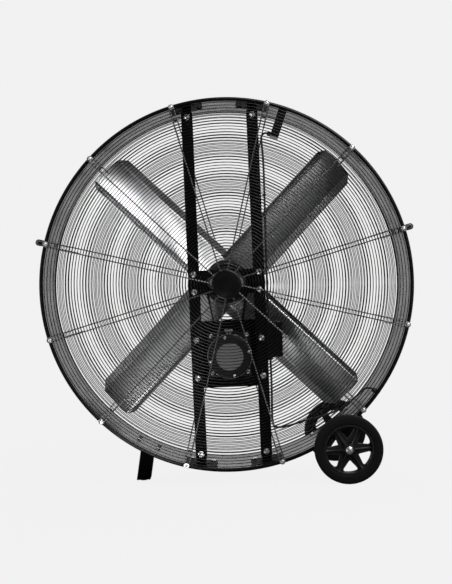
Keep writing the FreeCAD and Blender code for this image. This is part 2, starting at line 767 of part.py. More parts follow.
def make_bearings():
    """A flanged bearing on each face of the bracket, with its inner ring on the shaft."""
    bore = size("bearing_ring") + size("running_gap")
    tip = size("bearing_bolt_side") + 14
    tip_half = 12
    waist = size("bearing_boss_radius") - 1
    waist_half = size("bearing_boss_radius") + 6
    outline = [(-tip, -tip_half), (-waist, -waist_half), (waist, -waist_half), (tip, -tip_half),
               (tip, tip_half), (waist, waist_half), (-waist, waist_half), (-tip, tip_half)]
    front = bracket_front()
    back = front + size("bracket_depth")
    places = {
        "front_bearing_housing": on_hub(0, front, 0, Rotation(Vector(0, 0, 1), 180)),
        "rear_bearing_housing": on_hub(0, back),
    }
    bolts_holes = [(size("bolt_hole"), size("bearing_bolt_side"), 0),
                   (size("bolt_hole"), -size("bearing_bolt_side"), 0)]
    for name, place in places.items():
        body = plate(name, outline, [(bore, 0, 0)] + bolts_holes, size("bearing_flange"))
        revolve(body, [(bore, size("bearing_flange")), (bore, size("bearing_boss")),
                       (size("bearing_boss_radius"), size("bearing_boss")),
                       (size("bearing_boss_radius") + 2, size("bearing_flange"))])
        sub_part(name, body, place)
    ring = ring_body("inner_ring", size("shaft_radius"), size("bearing_ring"),
                     0, size("bearing_ring_width"))
    inset = (size("bearing_boss") - size("bearing_ring_width")) / 2
    ring_depths = [front - inset - size("bearing_ring_width"), back + inset]
    sub_part("bearing_inner_rings",
             copies("bearing_inner_rings", ring, [on_hub(0, depth) for depth in ring_depths]))
    bolt_length = 2 * size("bearing_flange")
    bolt = headed_screw("bearing_bolt", size("bolt_shank"), bolt_length, size("bolt_head"),
                        size("bolt_head_height"), size("bolt_washer"))
    bolt_places = []
    for depth, direction in ((front - size("bearing_flange"), OUTWARD),
                             (back + size("bearing_flange"), INWARD)):
        for across in (-1, 1):
            bolt_places.append(on_hub(across * size("bearing_bolt_side"), depth, 0,
                                      facing(direction)))
    sub_part("bearing_bolts", copies("bearing_bolts", bolt, bolt_places))


def make_fan_shaft():
    radius = size("shaft_radius")
    chamfer = 1
    front = size("shaft_front")
    back = size("shaft_back")
    tapped = size("screw_shank")
    tapped_end = back - size("hub_bolt_length") - 1
    body = new_body("fan_shaft")
    revolve(body, [(0, front), (radius - chamfer, front), (radius, front + chamfer),
                   (radius, back - chamfer), (radius - chamfer, back), (tapped, back),
                   (tapped, tapped_end), (0, tapped_end)])
    sub_part("fan_shaft", body, on_hub())


def grooved_pulley(name, radius, bore, web_inner, web_outer):
    """A V-belt pulley about the Y axis, thinned to a web between its hub and its rim."""
    half = size("pulley_width") / 2
    groove_floor = radius - size("groove_depth")
    top = size("groove_top")
    bottom = size("groove_bottom")
    web = size("pulley_web")
    corners = [(bore, -half), (web_inner, -half), (web_inner, -web), (web_outer, -web),
               (web_outer, -half), (radius, -half), (radius, -top), (groove_floor, -bottom),
               (groove_floor, bottom), (radius, top), (radius, half), (web_outer, half),
               (web_outer, web), (web_inner, web), (web_inner, half), (bore, half)]
    body = new_body(name)
    revolve(body, corners)
    return body


def make_pulleys():
    """The large pulley on the fan's shaft and the small one on the motor's."""
    rim_inner = size("pulley_radius") - size("groove_depth") - 5
    large = grooved_pulley("shaft_pulley", size("pulley_radius"), size("shaft_radius"),
                           size("pulley_hub"), rim_inner)
    sub_part("shaft_pulley", large, on_hub(0, size("pulley_mid")))
    small_radius = size("motor_pulley_radius")
    small = grooved_pulley("motor_pulley", small_radius, size("motor_shaft"),
                           size("motor_shaft") + 6, small_radius - size("groove_depth") - 2)
    sub_part("motor_pulley", small, on_motor(0, size("pulley_mid")))


def belt_outline(large, small, drop):
    """A face bounded by two arcs and the two straight runs between them."""
    lean = -math.asin((large - small) / drop)
    out = Vector(math.cos(lean), 0, math.sin(lean))
    upper = out * large
    lower = out * small + Vector(0, 0, -drop)
    upper_left = Vector(-upper.x, 0, upper.z)
    lower_left = Vector(-lower.x, 0, lower.z)
    edges = [
        Part.Arc(upper, Vector(0, 0, large), upper_left).toShape(),
        Part.LineSegment(upper_left, lower_left).toShape(),
        Part.Arc(lower_left, Vector(0, 0, -drop - small), lower).toShape(),
        Part.LineSegment(lower, upper).toShape(),
    ]
    return Part.Face(Part.Wire(edges))


def make_belt():
    """The V-belt, a loop that runs just clear of both grooves."""
    drop = float(size("motor_drop"))
    half_width = float(size("belt_half_width"))
    outer = [float(size(name)) for name in ("pulley_radius", "motor_pulley_radius")]
    inner = [radius - float(size("belt_height")) for radius in outer]
    loop = belt_outline(*outer, drop).cut(belt_outline(*inner, drop))
    item = helper("Part::Feature", "drive_belt")
    item.Shape = loop.Faces[0].extrude(Vector(0, 2 * half_width, 0))
    sub_part("drive_belt", item, on_hub(0, float(size("pulley_mid")) - half_width))


# --- fan hub and blades ----------------------------------------------------------------------

def blade_angles():
    return [45 + number * 360 / BLADES for number in range(BLADES)]


def make_spider():
    """The fan's hub with four flat arms behind the blades, set at their pitch."""
    pitch = Rotation(Vector(1, 0, 0), float(size("blade_pitch")))
    half = size("arm_width") / 2
    front = size("blade_sheet") + blade_bow(float(half)) + size("arm_gap")
    arm = box("spider_arm", (0, front, -half), (size("arm_reach"), front + size("arm_sheet"), half))
    arm_places = [along_arm(angle).multiply(Placement(Vector(), pitch))
                  for angle in blade_angles()]
    arms = [copies(f"arm_{number}", arm, [place])
            for number, place in enumerate(arm_places, start=1)]
    boss = rod_along("hub_boss", INWARD, size("hub_radius"), size("hub_back") - size("hub_front"),
                     (0, size("hub_front"), 0))
    boss_in_place = copies("hub_boss_placed", boss, [on_hub()])
    bore = rod_along("hub_bore", INWARD, size("shaft_radius"), size("drum_depth"))
    bore_in_place = copies("hub_bore_placed", bore, [on_hub()])
    blank = joined("spider_blank", [boss_in_place] + arms)
    sub_part("fan_spider", cut("fan_spider", blank, bore_in_place))


def blade_bow(across):
    """How far the blade's front has curved back, at most, at a distance from its middle."""
    stretch = 1 / math.cos(math.radians(float(size("blade_pitch"))))
    flat = min(float(size("blade_lead")) * stretch - float(size("blade_lip") + size("blade_crease")),
               float(size("blade_trail")) * stretch - float(size("blade_flange")))
    return float(size("blade_camber")) * (across / flat) ** 2


def blade_section():
    """The blade's cross section: a cambered middle, a creased lip and a folded flange.

    X is along the blade, Z across it towards the leading edge and -Y towards the intake.
    The crease and the flange stand square to the fan's axis, at the blade's pitch to its middle.
    """
    stretch = 1 / math.cos(math.radians(float(size("blade_pitch"))))
    lead_edge = float(size("blade_lead")) * stretch
    trail_edge = -float(size("blade_trail")) * stretch
    camber = float(size("blade_camber"))
    thickness = float(size("blade_sheet"))
    lip = float(size("blade_lip"))
    crease = float(size("blade_crease"))
    flange = float(size("blade_flange"))
    square_on = math.tan(math.radians(float(size("blade_pitch"))))
    lip_root = camber + crease * square_on
    spine = [
        Vector(0, camber - flange * square_on, trail_edge),
        Vector(0, camber, trail_edge + flange),
        Vector(0, 0, 0),
        Vector(0, camber, lead_edge - lip - crease),
        Vector(0, lip_root, lead_edge - lip),
        Vector(0, lip_root - lip * square_on / 2, lead_edge),
    ]
    skin = [point + Vector(0, thickness, 0) for point in spine]
    edges = []
    for line in (spine, skin):
        edges.append(Part.LineSegment(line[0], line[1]).toShape())
        edges.append(Part.Arc(line[1], line[2], line[3]).toShape())
        edges.append(Part.LineSegment(line[3], line[4]).toShape())
        edges.append(Part.LineSegment(line[4], line[5]).toShape())
    edges.append(Part.LineSegment(spine[0], skin[0]).toShape())
    edges.append(Part.LineSegment(spine[-1], skin[-1]).toShape())
    return Part.Face(Part.Wire(Part.__sortEdges__(edges)))


def make_blades():
    """Four pressed paddle blades, trimmed to a tip circle with rounded corners."""
    root = float(size("blade_root"))
    span = float(size("blade_tip")) + 10 - root
    blank = helper("Part::Feature", "blade_blank")
    pressed = blade_section().extrude(Vector(span, 0, 0))
    blank.Shape = pressed
    blank.Placement = Placement(Vector(root, 0, 0), Rotation(Vector(1, 0, 0),
                                                            float(size("blade_pitch"))))
    depth = size("blade_mid") * 2
    trim_box = box("blade_trim_box", (size("blade_root"), -depth / 2, -size("blade_trail") - 2),
                   (size("blade_tip") + CUT_MARGIN, depth / 2, size("blade_lead") + 2))
    trim_circle = rod_along("blade_trim_circle", INWARD, size("blade_tip"), depth * 2,
                            (0, -depth, 0))
    trim = shared("blade_trim", trim_box, trim_circle)
    document.recompute()
    corners = [number for number, edge in enumerate(trim.Shape.Edges, start=1)
               if is_tip_corner(edge)]
    rounded = helper("Part::Fillet", "blade_trim_rounded")
    rounded.Base = trim
    radius = float(size("tip_round"))
    rounded.Edges = [(number, radius, radius) for number in corners]
    blade = shared("blade", blank, rounded)
    for number, angle in enumerate(blade_angles(), start=1):
        name = f"blade_{number}"
        sub_part(name, copies(name, blade, [along_arm(angle)]))


def is_tip_corner(edge):
    """Whether an edge of the blade's trimming block runs along Y at the tip."""
    first = edge.Vertexes[0].Point
    last = edge.Vertexes[-1].Point
    along_y = abs(first.y - last.y) > 100
    return along_y and first.x > float(size("blade_tip")) - 60


def make_blade_rivets():
    """Two rows of rivet heads on the front of each blade, over its arm."""
    rivet = rod_along("rivet", Vector(0, 0, 1), size("blade_rivet"), size("rivet_height"))
    pitch = Rotation(Vector(1, 0, 0), float(size("blade_pitch")))
    places = []
    row = float(size("rivet_side"))
    seat = -float(size("arm_gap"))
    for angle in blade_angles():
        arm_front = along_arm(angle).multiply(Placement(Vector(), pitch))
        for radius in RIVET_RADII:
            for side in (-1, 1):
                lift = Vector(radius, seat, side * row)
                places.append(arm_front.multiply(Placement(lift, facing(OUTWARD))))
    sub_part("blade_rivets", copies("blade_rivets", rivet, places))


def make_hub_bolt():
    """The bolt and washer that keep the hub on the shaft."""
    bolt = headed_screw("hub_bolt_blank", size("screw_shank"), size("hub_bolt_length"),
                        size("bolt_head"),
                        size("bolt_head_height"), size("hub_radius") / 2)
    place = on_hub(0, size("shaft_back"), 0, facing(INWARD))
    sub_part("hub_bolt", copies("hub_bolt", bolt, [place]))


# --- motor -----------------------------------------------------------------------------------

def on_motor(x=0, y=0, z=0, rotation=None):
    """A placement counted from the motor's axis."""
    return on_hub(x, y, float(z) - float(size("motor_drop")), rotation)


def mount_places():
    """The four bolts that hold the motor's flange, from the motor's axis."""
    heights = (size("mount_up"), -size("mount_down"))
    return [(side * size("mount_side"), height) for side in (-1, 1) for height in heights]


def make_motor_plate():
    """The plate behind the struts that the motor passes through and is bolted to."""
    half = size("strut_side") + size("strut_width") / 2
    drop = size("motor_drop")
    outline = [(-half, -size("plate_bottom")), (half, -size("plate_bottom")),
               (half, -size("plate_top")), (-half, -size("plate_top"))]
    holes = [(size("motor_radius") + 1, 0, -drop)]
    for side in (-1, 1):
        for height in (size("plate_bolt_upper"), size("plate_bolt_lower")):
            holes.append((size("bolt_hole"), side * size("strut_side"), -height))
    for across, along in mount_places():
        holes.append((size("screw_hole"), across, along - drop))
    body = plate("motor_plate", outline, holes, size("plate_sheet"))
    sub_part("motor_plate", body, on_hub(0, bracket_front()))


def make_motor_shell():
    """The motor's tube with the square flange that it is bolted by."""
    radius = size("motor_radius")
    side = size("motor_flange_side")
    top = size("mount_up") + 9
    holes = [(radius - size("motor_wall"), 0, 0)]
    holes += [(size("screw_hole"), across, along) for across, along in mount_places()]
    outline = [(-side, -side), (side, -side), (side, top), (-side, top)]
    body = plate("motor_shell", outline, holes, size("motor_flange"))
    flange_front = bracket_front() - size("motor_flange")
    front = size("motor_shell_front") - flange_front
    back = size("motor_shell_back") - flange_front
    inner = radius - size("motor_wall")
    revolve(body, [(inner, front), (radius, front), (radius, back), (inner, back)])
    sub_part("motor_shell", body, on_motor(0, flange_front))


def end_bell(name, depth, bore_through):
    """A cast cup about the Y axis: its rim at y=0 and its closed face at y=depth."""
    radius = size("motor_radius")
    wall = size("motor_wall")
    bore = size("motor_shaft") + size("running_gap")
    boss = 14
    face = depth - 5
    chamfer = 5
    corners = [(bore, depth if bore_through else face + 3), (bore, 2), (boss, 2), (boss, face),
               (radius - wall - 1, face), (radius - wall - 1, 0), (radius, 0),
               (radius, depth - chamfer), (radius - chamfer, depth)]
    if not bore_through:
        corners += [(0, depth), (0, face + 3)]
    body = new_body(name)
    revolve(body, corners)
    holes = sketch_on(body, "XZ_Plane")
    add_circle(holes, size("through_bolt") + 0.2, size("through_bolt_circle"), 0)
    opening = pocket_through(body, holes)
    repeat_about(body, opening, holes, 4)
    return body


def make_motor_bells():
    flip = Rotation(Vector(0, 0, 1), 180)
    turn = about_axis(size("through_bolt_angle"))
    front = end_bell("motor_front_bell", size("motor_shell_front") - size("motor_front"), False)
    sub_part("motor_front_bell", front,
             on_motor(0, size("motor_shell_front"), 0, turn.multiply(flip)))
    rear = end_bell("motor_rear_bell", size("motor_back") - size("motor_shell_back"), True)
    sub_part("motor_rear_bell", rear, on_motor(0, size("motor_shell_back"), 0, turn))
    radius = size("cover_radius")
    sheet_metal = size("cover_sheet")
    cover = new_body("motor_end_cover")
    revolve(cover, [(0, 0), (radius, 0), (radius, sheet_metal / 2), (radius - 2, sheet_metal),
                    (0, sheet_metal)])
    sub_part("motor_end_cover", cover, on_motor(0, size("motor_front"), 0, flip))


def make_motor_core():
    """The wound stator inside the shell, and the rotor on its shaft."""
    middle = (size("motor_shell_front") + size("motor_shell_back")) / 2
    stack = 34
    bore_radius = 42
    air_gap = 0.5
    stator = ring_body("motor_stator", bore_radius, size("through_bolt_circle") - 4, -stack, stack)
    sub_part("motor_stator", stator, on_motor(0, middle))
    shaft = disc_body("motor_shaft", size("motor_shaft"), size("motor_front") + 8, 41)
    core = ring_body("rotor_core", size("motor_shaft"), bore_radius - air_gap,
                     middle - stack, middle + stack)
    sub_part("motor_rotor", group("motor_rotor", [shaft, core]), on_motor())


def make_motor_band():
    """The clamp band round the shell's front, with the screw that closes it at the top."""
    radius = size("motor_radius")
    outer = radius + size("band_sheet")
    half = size("band_width") / 2
    ear_side = 7
    ear_height = 19
    slit_half = 1.5
    screw_height = radius + 12
    screw_radius = 2.5
    screw_reach = 12
    head_height = screw_reach - ear_side
    right = Vector(1, 0, 0)
    blank = rod_along("band_outside", INWARD, outer, size("band_width"), (0, -half, 0))
    ears = box("band_ears", (-ear_side, -half, radius), (ear_side, half, radius + ear_height))
    hole = rod_along("band_inside", INWARD, radius, size("band_width") * 2, (0, -half * 2, 0))
    slit = box("band_slit", (-slit_half, -half * 2, radius - slit_half),
               (slit_half, half * 2, radius + ear_height + slit_half))
    cutters = joined("band_cutters", [hole, slit])
    band = cut("band", joined("band_blank", [blank, ears]), cutters)
    screw = rod_along("band_screw", right, screw_radius, 2 * screw_reach,
                      (-screw_reach, 0, screw_height))
    head = rod_along("band_screw_head", right, 2 * screw_radius, head_height,
                     (-screw_reach, 0, screw_height))
    nut = rod_along("band_nut", right, 2 * screw_radius, head_height - 1,
                    (ear_side, 0, screw_height))
    fastener = joined("band_fastener", [screw, head, nut])
    screw_way = rod_along("band_hole", right, screw_radius, 2 * CUT_MARGIN,
                          (-CUT_MARGIN, 0, screw_height))
    drilled = cut("band_drilled", band, screw_way)
    sub_part("motor_clamp_band", group("motor_clamp_band", [drilled, fastener]),
             on_motor(0, size("motor_shell_front") + half + 2))


def make_motor_fasteners():
    length = size("motor_back") - size("motor_front")
    through = headed_screw("through_bolt_blank", size("through_bolt"), length,
                           size("through_bolt_head"), size("screw_head_height"))
    places = []
    for number in range(4):
        point = radial(float(size("through_bolt_angle")) + 90 * number,
                       size("through_bolt_circle"))
        places.append(on_motor(point.x, size("motor_front"), point.z, facing(OUTWARD)))
    sub_part("motor_through_bolts", copies("motor_through_bolts", through, places))
    grip = size("motor_flange") + size("plate_sheet")
    bolt = hex_bolt("mount_bolt", size("screw_shank"), grip, size("screw_head"),
                    size("screw_head_height"), size("screw_head") + 0.6)
    seats = [on_motor(across, bracket_front() - size("motor_flange"), along, facing(OUTWARD))
             for across, along in mount_places()]
    sub_part("motor_mount_bolts", copies("motor_mount_bolts", bolt, seats))


# --- electrical ------------------------------------------------------------------------------

def make_terminal_box():
    """A sheet-metal box on the right strut's side, open at the front, and its lid."""
    wall = size("box_wall")
    left = size("strut_side") + size("strut_width") / 2
    right = left + size("terminal_width")
    front = size("terminal_front")
    back = front + size("terminal_depth")
    bottom = -size("terminal_bottom")
    top = -size("terminal_top")
    outside = box("terminal_outside", (left, front, bottom), (right, back, top))
    inside = box("terminal_inside", (left + wall, front - wall, bottom + wall),
                 (right - wall, back - wall, top - wall))
    blank = cut("terminal_blank", outside, inside)
    ways = [rod_along(f"terminal_way_{number}", Vector(0, 0, 1), size("lead_radius") + 0.3,
                      CUT_MARGIN, (size("lead_side"), size("lead_depth"), height - CUT_MARGIN / 2))
            for number, height in enumerate((bottom, top))]
    sub_part("terminal_box", cut("terminal_box", blank, joined("terminal_ways", ways)), on_axis())
    lid = box("terminal_lid", (left + 0.5, front - size("lid_sheet"), bottom - 1),
              (right + 1, front, top + 1))
    sub_part("terminal_box_lid", copies("terminal_box_lid", lid, [on_axis()]))


def switch_mid_depth():
    return size("switch_front") + size("switch_depth") / 2


def make_switch_box():
    """The switch box that hangs from the drum's wall, open on its left side, and its lid."""
    wall = size("box_wall")
    half = size("switch_thickness") / 2
    front = size("switch_front")
    back = front + size("switch_depth")
    inner = size("switch_inner")
    outer = size("switch_outer")
    outside = box("switch_outside", (inner, front, -half), (outer, back, half - wall))
    inside = box("switch_inside", (inner + wall, front + wall, wall - half),
                 (outer - wall, back - wall, half))
    spindle_way = rod_along("spindle_way", Vector(1, 0, 0),
                            size("switch_spindle") + size("running_gap"), CUT_MARGIN,
                            (outer - CUT_MARGIN / 2, switch_mid_depth(), 0))
    blank = cut("switch_box", outside, joined("switch_hollows", [inside, spindle_way]))
    place = turned(size("switch_angle"))
    sub_part("switch_box", blank, place)
    lid = box("switch_lid", (inner, front, half - wall), (outer, back, half))
    lid_way = rod_along("switch_lid_way", Vector(0, 0, 1), size("lead_radius") + 0.3, CUT_MARGIN,
                        (inner + size("lead_exit"), size("lead_depth") + size("lead_exit_depth"), 0))
    sub_part("switch_box_lid", cut("switch_box_lid", lid, lid_way), place)


def make_switch_knob():
    """The rotary switch's spindle and its knob, outside the drum's wall."""
    depth = switch_mid_depth()
    base = size("knob_base")
    inside_box = 16
    grip_half = 3.5
    grip_inset = 3
    draft = 1.5
    spindle_start = size("switch_outer") - inside_box
    spindle = rod_along("spindle", Vector(1, 0, 0), size("switch_spindle"),
                        base + size("knob_seat") - spindle_start, (spindle_start, depth, 0))
    place = turned(size("switch_angle"))
    sub_part("switch_spindle", copies("switch_spindle", spindle, [place]))
    radius = size("knob_radius")
    skirt = bind(helper("Part::Cone", "knob_skirt"), Radius1=radius, Radius2=radius - draft,
                 Height=size("knob_height"))
    skirt.Placement = Placement(Vector(float(base), float(depth), 0), facing(Vector(1, 0, 0)))
    grip_base = base + size("knob_height")
    bar = box("knob_bar", (grip_base, depth - radius + grip_inset, -grip_half),
              (grip_base + size("knob_grip"), depth + radius - grip_inset, grip_half))
    seat = rod_along("knob_seat", Vector(1, 0, 0), size("switch_spindle"), size("knob_seat"),
                     (base, depth, 0))
    knob = cut("switch_knob", joined("knob_blank", [skirt, bar]), seat)
    sub_part("switch_knob", knob, place)


def motor_lead_route():
    """From the switch box's lid to the right strut, down its side and into the terminal box."""
    out = radial(float(size("switch_angle")) + 90, 1)
    lid_face = float(size("switch_thickness")) / 2
    start = radial(size("switch_angle"), size("switch_inner") + size("lead_exit"),
                   size("lead_depth") + size("lead_exit_depth"))
    start += out * lid_face
    side = float(size("lead_side"))
    depth = float(size("lead_depth"))
    end = -float(size("terminal_top"))
    return [start, start + out * 31, Vector(side + 2, depth + 14, 422),
            Vector(side + 4, depth + 5, 386), Vector(side + 4, depth, 330),
            Vector(side + 2, depth, 210), Vector(side, depth, 80), Vector(side - 1, depth, -50),
            Vector(side, depth, end + 20), Vector(side, depth, end)]


def supply_lead_route():
    """From the terminal box down to the drum's bottom, then right to the gland in the wall."""
    side = float(size("lead_side"))
    depth = float(size("lead_depth"))
    start = -float(size("terminal_bottom"))
    guard_side = -134
    inside = float(size("drum_outer")) - float(size("drum_wall"))
    gland = radial(size("cord_gland_angle"), inside + 1, size("cord_gland_depth"))
    before_gland = radial(size("cord_gland_angle"), inside - 29, size("cord_gland_depth"))
    return [Vector(side, depth, start), Vector(side, depth, start - 34),
            Vector(side - 1, -122, -320), Vector(side - 4, guard_side, -400),
            Vector(side - 3, guard_side, -442), Vector(side + 36, guard_side, -440),
            Vector(186, guard_side, -434), Vector(223, guard_side, -423),
            Vector(272, guard_side + 2, -414), radial(-50.5, 514, guard_side + 6),
            radial(-44.6, 521, guard_side + 12), before_gland, gland]


def tie_on_run(route, number, lock_direction):
    """A tie in the middle of one of a route's straight runs, its lock towards a direction."""
    start = route[number]
    end = route[number + 1]
    middle = (start + end) / 2
    turn = Rotation(lock_direction, Vector(), end - start, "ZXY")
    return on_axis(middle.x, middle.y, middle.z, turn)


def tie_places(motor_route, supply_route):
    """The leads are tied down the strut's side, and along the guard."""
    left = Vector(-1, 0, 0)
    return [tie_on_run(motor_route, 4, left), tie_on_run(motor_route, 7, left),
            tie_on_run(supply_route, 3, OUTWARD), tie_on_run(supply_route, 6, OUTWARD)]


def make_leads():
    motor_route = motor_lead_route()
    supply_route = supply_lead_route()
    sub_part("motor_lead", lead("motor_lead", motor_route), on_axis())
    sub_part("supply_lead", lead("supply_lead", supply_route), on_axis())
    length = size("gland_length")
    bore = size("lead_radius") + 0.2
    gland = cut("gland", rod_along("gland_outside", Vector(0, 0, 1), size("gland_radius"), length),
                rod_along("gland_bore", Vector(0, 0, 1), bore, length))
    side = size("lead_side")
    depth = size("lead_depth")
    wall_inner = size("drum_outer") - size("drum_wall")
    out = radial(float(size("switch_angle")) + 90, 1)
    lid_point = motor_route[0]
    places = [
        on_axis(lid_point.x, lid_point.y, lid_point.z, facing(out)),
        on_axis(side, depth, -size("terminal_top")),
        on_axis(side, depth, -size("terminal_bottom") - length),
        on_wall(size("cord_gland_angle"), wall_inner - length - 0.2, size("cord_gland_depth")),
        on_wall(size("cord_gland_angle"), size("drum_outer"), size("cord_gland_depth")),
    ]
    sub_part("lead_glands", copies("lead_glands", gland, places))
    band = size("lead_radius") + 1.6
    half = size("tie_width") / 2
    loop = rod_along("tie_outside", Vector(0, 0, 1), band, size("tie_width"), (0, 0, -half))
    lock = box("tie_lock", (2, -3, -half), (band + 1.5, 3, half))
    way = rod_along("tie_way", Vector(0, 0, 1), bore, size("tie_width") * 2,
                    (0, 0, -size("tie_width")))
    tie = cut("tie", joined("tie_blank", [loop, lock]), way)
    sub_part("cable_ties", copies("cable_ties", tie,
                                  tie_places(motor_route, supply_route)))


# --- wheels, axle and leg --------------------------------------------------------------------

def on_wheel(depth, rotation=None):
    """A placement on the wheels' axle, counted from the floor."""
    return on_floor(size("wheel_x"), depth, size("wheel_radius"), rotation)


def make_wheel_centre(name):
    """A moulded wheel centre: hub, web with six windows and rim, about the Y axis."""
    bore = size("axle_radius") + size("running_gap")
    hub = size("wheel_hub")
    rim = size("wheel_rim")
    outer = size("tyre_inner")
    half = size("wheel_width") / 2
    rim_half = half - 3
    web = size("wheel_web") / 2
    body = new_body(name)
    revolve(body, [(bore, -half), (hub, -half), (hub + 2, -web), (rim, -web), (rim, -rim_half),
                   (outer, -rim_half), (outer, rim_half), (rim, rim_half), (rim, web),
                   (hub + 2, web), (hub, half), (bore, half)])
    windows = sketch_on(body, "XZ_Plane")
    inner_edge = size("wheel_radius") * 0.33
    outer_edge = rim - 3
    inner_half = 4
    outer_half = 24
    flat_half = 14
    corner_edge = outer_edge - 4
    add_outline(windows, [(inner_edge, -inner_half), (corner_edge, -outer_half),
                          (outer_edge, -flat_half), (outer_edge, flat_half),
                          (corner_edge, outer_half), (inner_edge, inner_half)])
    opening = pocket_through(body, windows)
    repeat_about(body, opening, windows, WHEEL_SPOKES)
    return body


def make_tyre(name):
    """A solid rubber tyre with rounded shoulders and three grooves."""
    inner = size("tyre_inner")
    outer = size("wheel_radius")
    half = size("wheel_width") / 2
    groove = 2
    groove_floor_half = 1.5
    groove_top_half = 2.5
    side_wall = [(outer - 2, half - 5), (outer - 8, half), (inner + 6, half), (inner, half - 2)]
    corners = [(radius, -across) for radius, across in reversed(side_wall)]
    for across in TREAD_GROOVES:
        corners += [(outer, across - groove_top_half), (outer - groove, across - groove_floor_half),
                    (outer - groove, across + groove_floor_half), (outer, across + groove_top_half)]
    corners += side_wall
    body = new_body(name)
    revolve(body, corners)
    return body


def make_wheels():
    for side, word in ((-1, "near"), (1, "far")):
        depth = side * size("wheel_y")
        spin = about_axis(size("wheel_turn"))
        sub_part(f"{word}_wheel_centre", make_wheel_centre(f"{word}_wheel_centre"),
                 on_wheel(depth, spin))
        sub_part(f"{word}_tyre", make_tyre(f"{word}_tyre"), on_wheel(depth))


def make_axle():
    radius = size("axle_radius")
    reach = size("axle_half_length")
    body = new_body("wheel_axle")
    revolve(body, [(0, -reach), (radius - 1, -reach), (radius, 1 - reach), (radius, reach - 1),
                   (radius - 1, reach), (0, reach)])
    sub_part("wheel_axle", body, on_wheel(0))
    thickness = size("washer_sheet")
    washer = ring_body("axle_washer", radius, size("axle_washer"), -thickness / 2, thickness / 2)
    offset = size("wheel_width") / 2 + size("side_play") + thickness / 2
    depths = [side * size("wheel_y") + step * offset for side in (-1, 1) for step in (-1, 1)]
    sub_part("axle_washers", copies("axle_washers", washer, [on_wheel(depth) for depth in depths]))
    cap_radius = size("axle_cap")
    wall = 1.4
    height = size("axle_cap_height")
    cap = new_body("axle_cap")
    revolve(cap, [(radius, 0), (cap_radius + 2, 0), (cap_radius, 1.5), (cap_radius, height - 2),
                  (cap_radius - 2, height), (0, height), (0, height - wall),
                  (radius, height - wall)])
    seat = reach - height + wall
    places = [on_wheel(seat), on_wheel(-seat, Rotation(Vector(0, 0, 1), 180))]
    sub_part("axle_caps", copies("axle_caps", cap, places))


def make_axle_brackets(wall_holes):
    """A plate on each side that hangs the axle from the drum, with a foot on the drum's wall."""
    wall = size("drum_outer")
    sheet_metal = size("axle_bracket_sheet")
    axle_x = size("wheel_x")
    axle_z = size("wheel_radius") - size("drum_axis_height")
    inside_wall = wall - CUT_MARGIN
    near_edge = radial(BRACKET_START, inside_wall)
    far_edge = radial(BRACKET_END, inside_wall)
    strip_outer = wall + size("bracket_strip")
    strip = [radial(-56.5, inside_wall), radial(-60.5, inside_wall), radial(-62.5, strip_outer),
             radial(BRACKET_END, strip_outer), far_edge]
    hanger_half = 2 * size("axle_radius")
    hanger_end = axle_z - hanger_half - 2
    outline = [(near_edge.x, near_edge.z), (axle_x + hanger_half + 8, axle_z + 6),
               (axle_x + hanger_half, hanger_end), (axle_x - hanger_half, hanger_end),
               (axle_x - hanger_half - 4, axle_z - 6)]
    outline += [(corner.x, corner.z) for corner in strip]
    blank = plate("axle_bracket_plate", outline, [], sheet_metal)
    foot_sheet = size("leg_wall")
    foot_depth = size("bracket_foot_depth")
    outside = rod_along("foot_outside", INWARD, wall + foot_sheet, foot_depth)
    sector = box("foot_sector", (far_edge.x - 4, 0, -wall), (near_edge.x + 4, foot_depth, near_edge.z))
    foot = shared("axle_foot", outside, sector)
    depth = size("drum_depth")
    drum_core = rod_along("bracket_drum_core", INWARD, wall, depth, (0, -depth / 2, 0))
    axle_way = rod_along("bracket_axle_way", INWARD, size("axle_radius"), depth,
                         (axle_x, -depth / 2, axle_z))
    cutters = group("bracket_cutters", [drum_core, axle_way])
    bracket = cut("axle_bracket", joined("axle_bracket_blank", [blank, foot]), cutters)
    mirrored = helper("Part::Mirroring", "axle_bracket_mirrored")
    mirrored.Source = bracket
    mirrored.Normal = Vector(0, 1, 0)
    pair = group("axle_bracket_pair", [
        copies("near_axle_bracket", bracket, [on_axis(0, -size("axle_bracket_y"))]),
        copies("far_axle_bracket", mirrored, [on_axis(0, size("axle_bracket_y"))]),
    ])
    sub_part("axle_brackets", cut("axle_brackets", pair, wall_holes))


